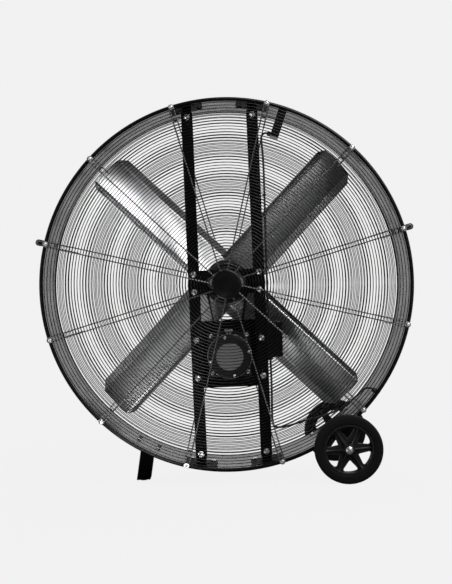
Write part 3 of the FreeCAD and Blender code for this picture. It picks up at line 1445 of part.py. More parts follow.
def make_leg(wall_holes):
    """The leg: a leaning tube with a saddle on the drum's wall and a rubber foot under it."""
    half_width = size("leg_width") / 2
    half_depth = size("leg_depth") / 2
    wall = size("leg_wall")
    lean = Rotation(Vector(0, 1, 0), float(size("leg_tilt")))
    floor_point = on_floor(size("leg_x"), 0, 0, lean)
    sole = 18
    outside = box("leg_outside", (-half_width, -half_depth, -CUT_MARGIN),
                  (half_width, half_depth, size("leg_length")))
    inside = box("leg_inside", (wall - half_width, wall - half_depth, sole),
                 (half_width - wall, half_depth - wall, size("leg_length") + CUT_MARGIN))
    tube = copies("leg_tube", cut("leg_tube_blank", outside, inside), [floor_point])
    depth = size("drum_depth")
    below = box("leg_floor_cut", (2 * size("leg_x"), -depth, -depth),
                (0, depth, size("leg_clearance")))
    core = rod_along("leg_core", INWARD, size("drum_outer"), depth, (0, -depth / 2, 0))
    drum_core = copies("leg_drum_core", core, [on_axis()])
    trimmed = cut("leg_trimmed", tube, group("leg_cutters", [below, drum_core]))
    saddle_half = size("leg_saddle_depth") / 2
    ring = cut("saddle_ring",
               rod_along("saddle_outside", INWARD, size("drum_outer") + wall, saddle_half * 2,
                         (0, -saddle_half, 0)),
               rod_along("saddle_inside", INWARD, size("drum_outer"), saddle_half * 2,
                         (0, -saddle_half, 0)))
    block = box("saddle_block", (size("drum_outer") / 2, -saddle_half, -size("leg_saddle_width") / 2),
                (size("rim_outer"), saddle_half, size("leg_saddle_width") / 2))
    saddle = copies("saddle", shared("saddle_blank", ring, block),
                    [turned(size("leg_saddle_angle"))])
    blank = joined("leg_blank", [trimmed, saddle])
    stem_radius = 4
    stem_length = size("leg_clearance") + 12
    stem = rod_along("leg_stem_hole", Vector(0, 0, 1), stem_radius, 2 * stem_length,
                     (size("leg_x"), 0, 0))
    cutters = group("leg_drills", [wall_holes, stem])
    sub_part("leg", cut("leg", blank, cutters))
    radius = size("pad_radius")
    foot = joined("leg_pad", [
        rod_along("pad_foot", Vector(0, 0, 1), radius, size("leg_clearance")),
        rod_along("pad_stem", Vector(0, 0, 1), stem_radius, stem_length),
    ])
    sub_part("leg_pad", foot, on_floor(size("leg_x"), 0, 0))


# --- handles ---------------------------------------------------------------------------------

def make_handles(wall_holes):
    """A bent carry handle on each side, with a rubber grip on its bar."""
    half = float(size("handle_half_length"))
    start = float(size("drum_outer")) + 2
    reach = float(size("handle_reach"))
    bend = float(size("handle_bend"))
    points = [Vector(start, -half, 0), Vector(reach, -half, 0), Vector(reach, half, 0),
              Vector(start, half, 0)]
    bar = bent_bar("handle_bar", points, [bend, bend], float(size("handle_rod")))
    foot_half = size("handle_foot_half_length")
    foot_low = size("drum_outer") + size("handle_foot_gap")
    foot_side = size("handle_foot_width") / 2
    foot = box("handle_foot", (foot_low, -foot_half, -foot_side),
               (foot_low + size("handle_foot_sheet"), foot_half, foot_side))
    handle = joined("handle", [bar, foot])
    places = [turned(size("handle_angle")), turned(180 - size("handle_angle"))]
    pair = copies("handle_pair", handle, places)
    sub_part("handle_bars", cut("handle_bars", pair, wall_holes))
    rod = size("handle_rod")
    grip_half = size("grip_half_length")
    grip_radius = size("grip_radius")
    grip = new_body("handle_grip")
    revolve(grip, [(rod, -grip_half), (grip_radius - 2, -grip_half), (grip_radius, 3 - grip_half),
                   (grip_radius, grip_half - 3), (grip_radius - 2, grip_half), (rod, grip_half)])
    step_out = Placement(Vector(float(size("handle_reach")), 0, 0), Rotation())
    sub_part("handle_grips", copies("handle_grips", grip,
                                    [place.multiply(step_out) for place in places]))


# --- checks and files ------------------------------------------------------------------------

def check_document():
    """Stop if any object failed, or if a part is empty or invalid."""
    for item in document.Objects:
        if "Invalid" in item.State or "Error" in item.State:
            raise RuntimeError(f"{item.Label} failed: {item.State}")
    for item in sub_parts:
        if item.Shape.isNull() or not item.Shape.isValid() or not item.Shape.Solids:
            raise RuntimeError(f"{item.Label} has no valid solid")
    if len(sub_parts) > PART_LIMIT:
        raise RuntimeError("too many parts")


def write_parts():
    os.makedirs(PARTS_FOLDER, exist_ok=True)
    for name in os.listdir(PARTS_FOLDER):
        os.remove(os.path.join(PARTS_FOLDER, name))
    for item in sub_parts:
        item.Shape.exportStep(os.path.join(PARTS_FOLDER, f"{item.Label}.step"))


def build():
    write_sheet()
    wall_drill = drill("wall_drill", size("bolt_hole"), 24)
    wall_holes = copies("wall_holes", wall_drill, wall_bolt_places())
    make_drum(wall_holes)
    make_guard_rings()
    make_guard_spokes()
    make_guard_caps()
    make_guard_screws()
    make_struts()
    make_shoes(wall_holes)
    make_strut_bolts()
    make_wall_bolts()
    make_bearing_bracket()
    make_bearings()
    make_fan_shaft()
    make_pulleys()
    make_belt()
    make_spider()
    make_blades()
    make_blade_rivets()
    make_hub_bolt()
    make_motor_plate()
    make_motor_shell()
    make_motor_bells()
    make_motor_core()
    make_motor_band()
    make_motor_fasteners()
    make_terminal_box()
    make_switch_box()
    make_switch_knob()
    make_leads()
    make_wheels()
    make_axle()
    make_axle_brackets(wall_holes)
    make_leg(wall_holes)
    make_handles(wall_holes)
    document.recompute()
    check_document()
    write_parts()
    whole = Part.makeCompound([item.Shape for item in sub_parts]).optimalBoundingBox()
    print(f"{len(sub_parts)} parts, {whole.XLength:.1f} x {whole.YLength:.1f} x {whole.ZLength:.1f} mm")


build()
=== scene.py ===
"""The looks of a belt-drive drum fan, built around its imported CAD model.

Metres, in the CAD's own frame: +Z up, +X to the right seen from the air intake, +Y from the
intake to the outlet. Places are read from the CAD nodes' boxes, joints and solids.
"""
import json
import math
import random
from collections import namedtuple

import bmesh
import bpy
from mathutils import Matrix, Vector


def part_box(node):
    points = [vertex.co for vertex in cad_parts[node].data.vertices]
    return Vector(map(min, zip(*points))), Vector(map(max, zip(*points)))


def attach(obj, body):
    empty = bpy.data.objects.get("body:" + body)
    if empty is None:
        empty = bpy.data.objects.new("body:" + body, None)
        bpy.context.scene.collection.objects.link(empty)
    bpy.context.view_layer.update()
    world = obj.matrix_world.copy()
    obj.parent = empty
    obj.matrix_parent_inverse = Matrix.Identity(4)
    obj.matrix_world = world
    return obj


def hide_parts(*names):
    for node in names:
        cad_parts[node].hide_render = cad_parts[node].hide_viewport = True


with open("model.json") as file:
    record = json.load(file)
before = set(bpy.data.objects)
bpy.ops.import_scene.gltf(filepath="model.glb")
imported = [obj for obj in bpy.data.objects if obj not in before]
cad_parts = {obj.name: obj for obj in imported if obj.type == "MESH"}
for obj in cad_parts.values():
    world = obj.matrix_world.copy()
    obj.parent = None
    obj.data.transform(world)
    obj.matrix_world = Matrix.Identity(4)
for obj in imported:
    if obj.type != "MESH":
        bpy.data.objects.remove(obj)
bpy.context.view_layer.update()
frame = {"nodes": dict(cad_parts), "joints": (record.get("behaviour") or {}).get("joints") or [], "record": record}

MM = 0.001
Y_AXIS = Vector((0, 1, 0))
Z_AXIS = Vector((0, 0, 1))

joint_places = {joint["name"]: Vector(joint["pos_m"]) for joint in frame["joints"]}
FAN_AXIS = joint_places["fan_spin"]
MOTOR_AXIS = joint_places["motor_spin"]
DRUM_AXIS = sum(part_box("drum_shell"), Vector()) / 2
materials = {}


# --- camera, lights and stage ----------------------------------------------------------------

BACKGROUND = 0.885
FLOOR_HALF = 6


def make_camera():
    """A square-on view of the intake side, held a little out of level."""
    distance = 3.882
    eye_height = 0.628
    tilt = math.radians(2.5)
    data = bpy.data.cameras.new("camera")
    data.lens = 75.9
    data.shift_x = -0.0005
    data.shift_y = -0.0259
    camera = bpy.data.objects.new("camera", data)
    level = Matrix.Rotation(math.radians(90), 4, "X") @ Matrix.Rotation(-tilt, 4, "Z")
    camera.matrix_world = Matrix.Translation((0, -distance, eye_height)) @ level
    bpy.context.scene.collection.objects.link(camera)
    bpy.context.scene.camera = camera
    bpy.context.scene.view_settings.view_transform = "Standard"


def make_softbox(name, place, target, width, height, power):
    """A large rectangular light aimed at a point."""
    data = bpy.data.lights.new(name, "AREA")
    data.shape = "RECTANGLE"
    data.size = width
    data.size_y = height
    data.energy = power
    light = bpy.data.objects.new(name, data)
    light.location = place
    light.rotation_mode = "QUATERNION"
    light.rotation_quaternion = (Vector(target) - Vector(place)).to_track_quat("-Z", "Y")
    light.visible_camera = False
    bpy.context.scene.collection.objects.link(light)


def make_lights():
    """Soft boxes: a key at the upper right, fills at the sides and low in front, one behind."""
    low_place = Vector((-0.29, -0.50, 0.02))
    make_softbox("key_light", (1.85, -2.8, 3.6), FAN_AXIS, 2.8, 3.2, 185)
    make_softbox("side_light", (-2.6, -2.6, 2.6), FAN_AXIS, 1.6, 1.6, 6)
    make_softbox("back_light", (0.4, 3.6, 2.4), FAN_AXIS, 3.0, 2.0, 60)
    make_softbox("low_light", low_place, low_place + Z_AXIS, 0.36, 0.38, 3.6)
    for side in (-1, 1):
        make_softbox("strip_light", (2.3 * side, -2.9, 0.7), FAN_AXIS, 0.25, 1.3, 8)


def grey(level, cool=1.0):
    """A grey, turned a little blue by a factor above one."""
    return (level, level, level * cool)


class Graph:
    """A shader's node tree, with short ways to add and link its nodes."""

    def __init__(self, tree):
        self.tree = tree

    def add(self, kind, *values, **settings):
        """A new node, with its first sockets fed in order."""
        node = self.tree.nodes.new(kind)
        for key, value in settings.items():
            setattr(node, key, value)
        for socket, value in zip(node.inputs, values):
            self.feed(socket, value)
        return node

    def feed(self, socket, value):
        """Set a socket to a plain value, or link it to another node's output."""
        if isinstance(value, bpy.types.NodeSocket):
            self.tree.links.new(value, socket)
        elif isinstance(value, (int, float)):
            socket.default_value = value
        else:
            socket.default_value = (*value, 1)

    def between(self, value, low, high, bottom=0.0, top=1.0, kind="LINEAR"):
        """Map a value from one range to another, held at the ends."""
        ramp = self.add("ShaderNodeMapRange", value, low, high, bottom, top,
                        interpolation_type=kind)
        return ramp.outputs["Result"]

    def part(self, vector, letter):
        """One of a vector's X, Y and Z."""
        return self.add("ShaderNodeSeparateXYZ", vector).outputs[letter]

    def matte(self, level):
        return self.add("ShaderNodeBsdfDiffuse", grey(level)).outputs["BSDF"]

    def glow(self, level):
        return self.add("ShaderNodeEmission", grey(level)).outputs["Emission"]

    def end_with(self, output, lit, seen):
        """Close the tree: one shader as light, and another as the camera sees it."""
        camera_ray = self.add("ShaderNodeLightPath").outputs["Is Camera Ray"]
        choice = self.add("ShaderNodeMixShader", camera_ray, lit, seen)
        self.feed(self.tree.nodes[output].inputs["Surface"], choice.outputs["Shader"])


def make_world():
    """Pale to the camera; as light, bright behind the fan and dim in front of it."""
    world = bpy.data.worlds.new("studio")
    bpy.context.scene.world = world
    world.use_nodes = True
    sky = Graph(world.node_tree)
    direction = sky.add("ShaderNodeTexCoord").outputs["Generated"]
    level = sky.between(sky.part(direction, "Y"), -0.35, 0.55, 0.03, 0.95, "SMOOTHSTEP")
    lit = sky.tree.nodes["Background"]
    sky.feed(lit.inputs["Color"], level)
    seen = sky.add("ShaderNodeBackground", grey(BACKGROUND))
    sky.end_with("World Output", lit.outputs["Background"], seen.outputs["Background"])


def make_floor():
    """A plain pale floor that fades into the backdrop; as light, it glows behind the fan."""
    corners = [(x * FLOOR_HALF, y * FLOOR_HALF, 0) for x, y in ((-1, -1), (1, -1), (1, 1), (-1, 1))]
    mesh = bpy.data.meshes.new("floor")
    mesh.from_pydata(corners, [], [range(len(corners))])
    floor = bpy.data.objects.new("floor", mesh)
    bpy.context.scene.collection.objects.link(floor)
    material = bpy.data.materials.new("floor")
    material.use_nodes = True
    ground = Graph(material.node_tree)
    ground.tree.nodes.remove(ground.tree.nodes["Principled BSDF"])
    place = ground.add("ShaderNodeTexCoord").outputs["Object"]
    distance = ground.add("ShaderNodeVectorMath", place, operation="LENGTH").outputs["Value"]
    fade = ground.between(distance, 0.5, 1.7, 0.975, 1.0, "SMOOTHSTEP")
    seen = ground.add("ShaderNodeMixShader", fade, ground.matte(0.8), ground.glow(BACKGROUND))
    behind = ground.between(ground.part(place, "Y"), 0.1, 0.6)
    lit = ground.add("ShaderNodeMixShader", behind, ground.matte(0.12), ground.glow(0.8))
    ground.end_with("Material Output", lit.outputs["Shader"], seen.outputs["Shader"])
    mesh.materials.append(material)


# --- materials -------------------------------------------------------------------------------

class Surface(Graph):
    """A procedural material, built up from a plain shader one effect at a time."""

    def __init__(self, name, colour, roughness, metallic=0.0, shine=0.5):
        self.material = bpy.data.materials.new(name)
        self.material.use_nodes = True
        super().__init__(self.material.node_tree)
        self.shader = self.tree.nodes["Principled BSDF"]
        self.shader.inputs["Metallic"].default_value = metallic
        self.shader.inputs["Specular IOR Level"].default_value = shine
        self.place = self.add("ShaderNodeTexCoord").outputs["Object"]
        self.colour = colour
        self.roughness = roughness
        self.height = None
        self.normal = None
        materials[name] = self.material

    def noise(self, size, detail=3.0, stretch=(1, 1, 1), seed=0.0):
        """Noise whose features are about a given size in metres."""
        shift = self.add("ShaderNodeMapping", self.place)
        shift.inputs["Location"].default_value = (seed, seed * 0.7, seed * 1.3)
        shift.inputs["Scale"].default_value = [1 / (size * part) for part in stretch]
        noise = self.add("ShaderNodeTexNoise", shift.outputs["Vector"])
        noise.inputs["Scale"].default_value = 1
        noise.inputs["Detail"].default_value = detail
        return noise.outputs["Fac"]

    def calculated(self, operation, one, other):
        return self.add("ShaderNodeMath", one, other, operation=operation).outputs[0]

    def tint(self, mask, colour):
        """Mix a colour in where a mask says."""
        mix = self.add("ShaderNodeMix", mask, data_type="RGBA")
        self.feed(mix.inputs[6], self.colour)
        self.feed(mix.inputs[7], colour)
        self.colour = mix.outputs[2]

    def roughen(self, mask, amount):
        """Add to the roughness where a mask says."""
        scaled = self.calculated("MULTIPLY", mask, amount)
        self.roughness = self.calculated("ADD", self.roughness, scaled)

    def raise_by(self, mask, depth):
        """Add relief, in metres, from a mask."""
        scaled = self.calculated("MULTIPLY", mask, depth)
        self.height = self.calculated("ADD", self.height, scaled) if self.height else scaled

    def facing(self):
        """The direction the true surface faces."""
        return self.add("ShaderNodeNewGeometry").outputs["Normal"]

    def rounded(self, width):
        """The direction the surface would face with its edges rounded."""
        return self.add("ShaderNodeBevel", width, samples=4).outputs["Normal"]

    def edge_mask(self, width):
        """Where the surface turns within a width of an edge."""
        compare = self.add("ShaderNodeVectorMath", self.rounded(width), self.facing(),
                           operation="DOT_PRODUCT")
        return self.between(compare.outputs["Value"], 0.995, 0.86)

    def upward_mask(self):
        """Where the surface faces up and dust can settle."""
        return self.between(self.part(self.facing(), "Z"), 0.35, 0.95)

    def soften(self, width):
        """Catch light along edges as if they were rounded."""
        self.normal = self.rounded(width)

    def done(self, strength):
        """Join colour, roughness and relief to the shader."""
        relief = self.add("ShaderNodeBump")
        self.feed(relief.inputs["Strength"], strength)
        self.feed(relief.inputs["Distance"], 1.0)
        self.feed(relief.inputs["Height"], self.height)
        if self.normal:
            self.feed(relief.inputs["Normal"], self.normal)
        self.feed(self.shader.inputs["Base Color"], self.colour)
        self.feed(self.shader.inputs["Roughness"], self.roughness)
        self.feed(self.shader.inputs["Normal"], relief.outputs["Normal"])


def powder_coat(name, colour, roughness, edge, shine):
    """Satin powder coat: fine orange peel, handling marks, dust on top and worn edges."""
    paint = Surface(name, colour, roughness, shine=shine)
    peel = paint.noise(1.6 * MM, 2)
    patches = paint.noise(90 * MM, 4)
    fine = paint.noise(9 * MM, 5, seed=3)
    marks = paint.between(paint.noise(35 * MM, 6, seed=7), 0.56, 0.72)
    worn = paint.calculated("MULTIPLY", paint.edge_mask(1.5 * MM), paint.between(fine, 0.42, 0.62))
    dust = paint.calculated("MULTIPLY", paint.upward_mask(), paint.between(fine, 0.3, 0.8))
    paint.tint(paint.calculated("MULTIPLY", patches, 0.35), [part * 1.6 for part in colour])
    paint.tint(paint.calculated("MULTIPLY", dust, 0.06), (0.20, 0.19, 0.18))
    paint.tint(paint.calculated("MULTIPLY", worn, 0.6), edge)
    paint.roughen(paint.between(patches, 0.3, 0.7, -0.5, 0.5), 0.10)
    paint.roughen(marks, 0.08)
    paint.roughen(dust, 0.18)
    paint.raise_by(peel, 0.05 * MM)
    paint.soften(0.8 * MM)
    paint.done(0.5)


def zinc_plate():
    """Bright zinc on fasteners: clear metal with faint yellow and grey clouds."""
    metal = Surface("zinc_steel", (0.74, 0.74, 0.72), 0.24, metallic=1.0)
    clouds = metal.noise(4 * MM, 4)
    grain = metal.noise(0.7 * MM, 3, seed=2)
    metal.tint(metal.between(clouds, 0.45, 0.75, 0, 0.5), (0.60, 0.58, 0.50))
    metal.tint(metal.between(grain, 0.62, 0.78, 0, 0.5), (0.30, 0.29, 0.27))
    metal.roughen(metal.between(clouds, 0.3, 0.7), 0.16)
    metal.raise_by(grain, 0.02 * MM)
    metal.soften(0.35 * MM)
    metal.done(0.4)


def ground_steel():
    """Turned and ground steel with a film of oil and fine rings round the shaft."""
    metal = Surface("ground_steel", (0.52, 0.52, 0.53), 0.22, metallic=1.0)
    rings = metal.noise(1.1 * MM, 2, stretch=(40, 1, 40))
    film = metal.noise(22 * MM, 4, seed=4)
    metal.tint(metal.between(film, 0.5, 0.8, 0, 0.6), (0.30, 0.26, 0.20))
    metal.roughen(metal.between(rings, 0.3, 0.7), 0.14)
    metal.raise_by(rings, 0.02 * MM)
    metal.done(0.4)


def blade_metal():
    """Satin rolled sheet: faint streaks along the sheet, soft clouds and a few scuffs."""
    metal = Surface("blade_metal", (0.74, 0.74, 0.75), 0.31, metallic=1.0)
    clouds = metal.noise(70 * MM, 4)
    streaks = metal.noise(5 * MM, 3, stretch=(1, 9, 1), seed=5)
    grain = metal.noise(0.9 * MM, 3, seed=1)
    scuffs = metal.between(metal.noise(14 * MM, 6, seed=8), 0.60, 0.74)
    metal.tint(metal.between(clouds, 0.35, 0.7, 0, 0.35), (0.64, 0.64, 0.65))
    metal.tint(metal.calculated("MULTIPLY", scuffs, 0.25), (0.82, 0.82, 0.82))
    metal.roughen(metal.between(clouds, 0.3, 0.7, -0.5, 0.5), 0.08)
    metal.roughen(metal.between(streaks, 0.35, 0.65), 0.06)
    metal.raise_by(grain, 0.015 * MM)
    metal.raise_by(streaks, 0.02 * MM)
    metal.soften(0.6 * MM)
    metal.done(0.35)


def cast_iron():
    """Sand-cast iron under paint: pebbled skin and darker pits."""
    metal = Surface("cast_iron", (0.055, 0.056, 0.058), 0.48)
    pebbles = metal.noise(1.8 * MM, 4)
    pits = metal.between(metal.noise(3 * MM, 2, seed=6), 0.62, 0.75)
    metal.tint(pits, (0.02, 0.02, 0.02))
    metal.tint(metal.calculated("MULTIPLY", metal.edge_mask(1.2 * MM), 0.5), (0.18, 0.18, 0.18))
    metal.roughen(metal.between(pebbles, 0.3, 0.7), 0.12)
    metal.raise_by(pebbles, 0.12 * MM)
    metal.soften(1.0 * MM)
    metal.done(0.7)


def moulded(name, colour, roughness, grain):
    """Moulded plastic: a fine spark-eroded grain, flow clouds and rubbed edges."""
    plastic = Surface(name, colour, roughness, shine=0.35)
    texture = plastic.noise(grain, 3)
    flow = plastic.noise(40 * MM, 3, seed=9)
    scuffs = plastic.between(plastic.noise(11 * MM, 6, seed=11), 0.6, 0.75)
    plastic.tint(plastic.between(flow, 0.35, 0.7, 0, 0.5), [part * 1.5 for part in colour])
    plastic.tint(plastic.calculated("MULTIPLY", plastic.edge_mask(1.4 * MM), 0.4),
                 [part * 3.2 for part in colour])
    plastic.tint(plastic.calculated("MULTIPLY", scuffs, 0.2), (0.12, 0.12, 0.12))
    plastic.roughen(plastic.between(flow, 0.3, 0.7), 0.08)
    plastic.roughen(scuffs, 0.10)
    plastic.raise_by(texture, 0.06 * MM)
    plastic.soften(0.8 * MM)
    plastic.done(0.5)


def rubber(name, colour, dusty):
    """Matte rubber: a soft bloom, mould grain and grey dust where it rolls or is held."""
    skin = Surface(name, colour, 0.72, shine=0.12)
    bloom = skin.noise(25 * MM, 4)
    grain = skin.noise(1.2 * MM, 3, seed=12)
    dirt = skin.between(skin.noise(7 * MM, 6, seed=13), 0.45, 0.75)
    skin.tint(skin.between(bloom, 0.35, 0.75, 0, 0.5), [part * 1.9 for part in colour])
    skin.tint(skin.calculated("MULTIPLY", dirt, dusty), (0.16, 0.155, 0.15))
    skin.roughen(skin.between(bloom, 0.3, 0.7, -1, 1), 0.07)
    skin.raise_by(grain, 0.10 * MM)
    skin.soften(0.8 * MM)
    skin.done(0.6)


def make_materials():
    """One material for each slot of the record, and two finishes for some of their pieces: a matte paint, and the
    guard wire's black paint lightened to grey as a painted highlight on the spokes.
    """
    cool = 1.05
    powder_coat("drum_paint", grey(0.002, cool), 0.28, grey(0.03), 0.24)
    powder_coat("matte_paint", grey(0.002, cool), 0.65, grey(0.02), 0.04)
    powder_coat("guard_wire", grey(0.002, cool), 0.26, grey(0.03), 0.3)
    # The spokes' wire: the rings' black paint lightened to grey, a painted highlight for the light that the
    # near-upright spokes catch.
    powder_coat("spoke_wire", grey(0.10), 0.22, grey(0.34), 0.8)
    powder_coat("spider_paint", grey(0.020, cool), 0.38, grey(0.16), 0.3)
    powder_coat("motor_paint", grey(0.008, cool), 0.30, grey(0.10), 0.4)
    powder_coat("cover_paint", grey(0.125), 0.42, grey(0.30), 0.4)
    zinc_plate()
    ground_steel()
    blade_metal()
    cast_iron()
    rubber("belt_rubber", grey(0.018), 0.15)
    rubber("rubber", grey(0.018), 0.25)
    rubber("tyre", grey(0.003, cool), 0.02)
    moulded("wheel_plastic", grey(0.004, cool), 0.42, 0.9 * MM)
    moulded("knob_plastic", grey(0.020), 0.38, 0.7 * MM)
    moulded("lead_jacket", grey(0.016), 0.45, 0.8 * MM)


MATTE_NODES = ("strut_left", "strut_right", "strut_shoes", "motor_plate", "leg")


def dress_cad_nodes():
    """Give every CAD node the material of its slot, or a matte finish."""
    for entry in frame["record"]["subparts"]:
        node = frame["nodes"][entry["node"]]
        finish = "matte_paint" if entry["node"] in MATTE_NODES else entry["material_slot"]
        node.data.materials.clear()
        node.data.materials.append(materials[finish])


# --- building shapes -------------------------------------------------------------------------

def aimed(point, direction, spin=0.0):
    """A place whose +Z points in a direction, turned about it by an angle in degrees."""
    turn = Vector(direction).to_track_quat("Z", "Y").to_matrix().to_4x4()
    return Matrix.Translation(point) @ turn @ Matrix.Rotation(math.radians(spin), 4, "Z")


def round_drum(degrees, radius, depth):
    """A point at an angle from +X about the drum's axis, seen from the intake."""
    angle = math.radians(degrees)
    return Vector((DRUM_AXIS.x + radius * math.cos(angle), depth,
                   DRUM_AXIS.z + radius * math.sin(angle)))


def outward(degrees):
    """The direction square to the drum's axis at an angle from +X."""
    angle = math.radians(degrees)
    return Vector((math.cos(angle), 0, math.sin(angle)))


def circle(radius, count, height=0.0):
    """Points evenly round +Z at a height."""
    angles = [2 * math.pi * step / count for step in range(count)]
    return [(radius * math.cos(angle), radius * math.sin(angle), height) for angle in angles]


def arc_points(centre, radius, start, end, steps):
    """Points of a flat arc as (x, y), angles in degrees."""
    angles = [math.radians(start + (end - start) * step / steps) for step in range(steps + 1)]
    return [(centre[0] + radius * math.cos(angle), centre[1] + radius * math.sin(angle))
            for angle in angles]


def mirrored(profile):
    """A (radius, height) profile's other half, below the middle."""
    return [(radius, -height) for radius, height in reversed(profile)]


def skin(row_pairs, width, closed=True):
    """Faces between pairs of rows, for points that are numbered row by row."""
    faces = []
    for one, other in row_pairs:
        for step in range(width if closed else width - 1):
            after = (step + 1) % width
            faces.append([one * width + step, one * width + after,
                          other * width + after, other * width + step])
    return faces


def end_faces(last_row, width):
    """The two flat faces that close the first and last of a stack of rows."""
    return [list(range(width))[::-1], [last_row * width + step for step in range(width)]]


class Shape:
    """A mesh put together from simple forms."""

    def __init__(self):
        self.points = []
        self.faces = []

    def add(self, points, faces, place=Matrix()):
        first = len(self.points)
        self.points += [place @ Vector(point) for point in points]
        self.faces += [[first + number for number in face] for face in faces]

    def turned(self, profile, place, segments=32):
        """Turn (radius, height) corners about +Z; a profile off the axis closes on itself."""
        points = []
        rows = []
        for radius, height in profile:
            row = circle(radius, segments, height) if radius else [(0, 0, height)]
            rows.append(range(len(points), len(points) + len(row)))
            points += row
        faces = []
        pairs = list(zip(rows, rows[1:]))
        if len(rows[0]) > 1 and len(rows[-1]) > 1:
            pairs.append((rows[-1], rows[0]))
        for one, other in pairs:
            for step in range(segments):
                after = (step + 1) % segments
                corners = [one[step % len(one)], one[after % len(one)],
                           other[after % len(other)], other[step % len(other)]]
                faces.append(list(dict.fromkeys(corners)))
        self.add(points, faces, place)

    def tube(self, path, radius, sides=8, closed=False):
        """Round wire along a path."""
        count = len(path)
        points = []
        across = None
        for number, point in enumerate(path):
            before = path[number - 1] if number or closed else point
            after = path[(number + 1) % count] if number < count - 1 or closed else point
            along = (after - before).normalized()
            if across is None:
                across = along.orthogonal().normalized()
            across = (across - along * across.dot(along)).normalized()
            beside = along.cross(across)
            points += [point + across * x + beside * y for x, y, _ in circle(radius, sides)]
        faces = skin(zip(range(count - 1), range(1, count)), sides)
        if closed:
            faces += self.closing_faces(points, count - 1, sides)
        else:
            faces += end_faces(count - 1, sides)
        self.add(points, faces)

    @staticmethod
    def closing_faces(points, last_row, sides):
        """Faces from the last row of a closed tube to its first, matched at the nearest corner."""
        last = points[last_row * sides]
        twist = min(range(sides), key=lambda side: (points[side] - last).length)
        return [[last_row * sides + side, last_row * sides + (side + 1) % sides,
                 (side + 1 + twist) % sides, (side + twist) % sides] for side in range(sides)]

    def piece(self, name, body, slot, replaced=(), smooth=38, finish=None):
        """Finish the mesh as an object that rides on a body and stands for CAD nodes."""
        mesh = bpy.data.meshes.new(name)
        mesh.from_pydata(self.points, [], self.faces)
        mesh.validate()
        tidy = bmesh.new()
        tidy.from_mesh(mesh)
        bmesh.ops.recalc_face_normals(tidy, faces=tidy.faces)
        tidy.to_mesh(mesh)
        tidy.free()
        mesh.shade_smooth()
        mesh.set_sharp_from_angle(angle=math.radians(smooth))
        mesh.materials.append(materials[finish or slot])
        item = bpy.data.objects.new(name, mesh)
        bpy.context.scene.collection.objects.link(item)
        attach(item, body)
        if replaced:
            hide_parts(*replaced)


def solids_of(node):
    """The separate solids of a CAD node, each as a list of its corner points."""
    mesh = bmesh.new()
    mesh.from_mesh(frame["nodes"][node].data)
    bmesh.ops.remove_doubles(mesh, verts=mesh.verts, dist=0.01 * MM)
    unseen = set(mesh.verts)
    solids = []
    while unseen:
        reached = [unseen.pop()]
        for vert in reached:
            for edge in vert.link_edges:
                other = edge.other_vert(vert)
                if other in unseen:
                    unseen.remove(other)
                    reached.append(other)
        solids.append([vert.co.copy() for vert in reached])
    mesh.free()
    return solids


def ordered_solids(node):
    """A CAD node's solids in a fixed order, so that random turns fall on the same ones."""
    return sorted(solids_of(node), key=lambda points: tuple(seat_of(points, Y_AXIS)))


def seat_of(solid, direction):
    """A solid's top point along a direction, on the line through its middle."""
    middle = Vector([(min(point[axis] for point in solid) + max(point[axis] for point in solid)) / 2
                     for axis in range(3)])
    top = max((point - middle).dot(direction) for point in solid)
    return middle + direction * top


# --- guards ----------------------------------------------------------------------------------

RING_COUNT = 57
SPOKE_COUNT = 12
FIRST_RING = 44 * MM
RING_WIRE = 1.5 * MM
RING_SIDES = 7
RING_FIT = 0.98
RING_SAG = 0.5 * MM
SPOKE_WIRE = 2 * MM
FIRST_SPOKE = 15
SPOKE_LOOP = 7 * MM
SPOKE_INNER_END = FIRST_RING - 8 * MM
SPOKE_SHORT_LEG = 71.5 * MM
guard_random = random.Random(42)


def ring_radii():
    """The radii of a guard's rings, from the innermost out."""
    low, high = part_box("intake_guard_rings")
    last = (high.x - low.x) / 2 - RING_WIRE
    return [FIRST_RING + (last - FIRST_RING) * number / (RING_COUNT - 1)
            for number in range(RING_COUNT)]


def make_guard_rings(side):
    """Concentric wire rings, each a little out of true between its welds."""
    word = "intake" if side < 0 else "outlet"
    low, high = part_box(f"{word}_guard_rings")
    wire = (high.y - low.y) / 2 * RING_FIT
    depth = (low.y + high.y) / 2
    rings = Shape()
    for radius in ring_radii():
        steps = max(36, int(radius * 230))
        sag = guard_random.uniform(-1, 1) * RING_SAG
        wander = guard_random.uniform(0, 360)
        path = []
        for step in range(steps):
            angle = 360 * step / steps
            between = abs(math.sin(math.radians((angle - FIRST_SPOKE) * SPOKE_COUNT / 2)))
            stray = sag * between * math.sin(math.radians(angle * 2 + wander))
            path.append(round_drum(angle, radius + stray, depth))
        rings.tube(path, wire, RING_SIDES, closed=True)
    rings.piece(f"{word}_rings", "drum", "guard_wire", [f"{word}_guard_rings"], 60)


def add_weld(shape, point):
    """A small lump where a ring crosses a spoke."""
    size = guard_random.uniform(1.9, 2.3) * MM
    shape.turned([(0, -size), (size * 0.8, -size * 0.6), (size, 0), (size * 0.8, size * 0.6),
                  (0, size)], aimed(point, Y_AXIS), 7)


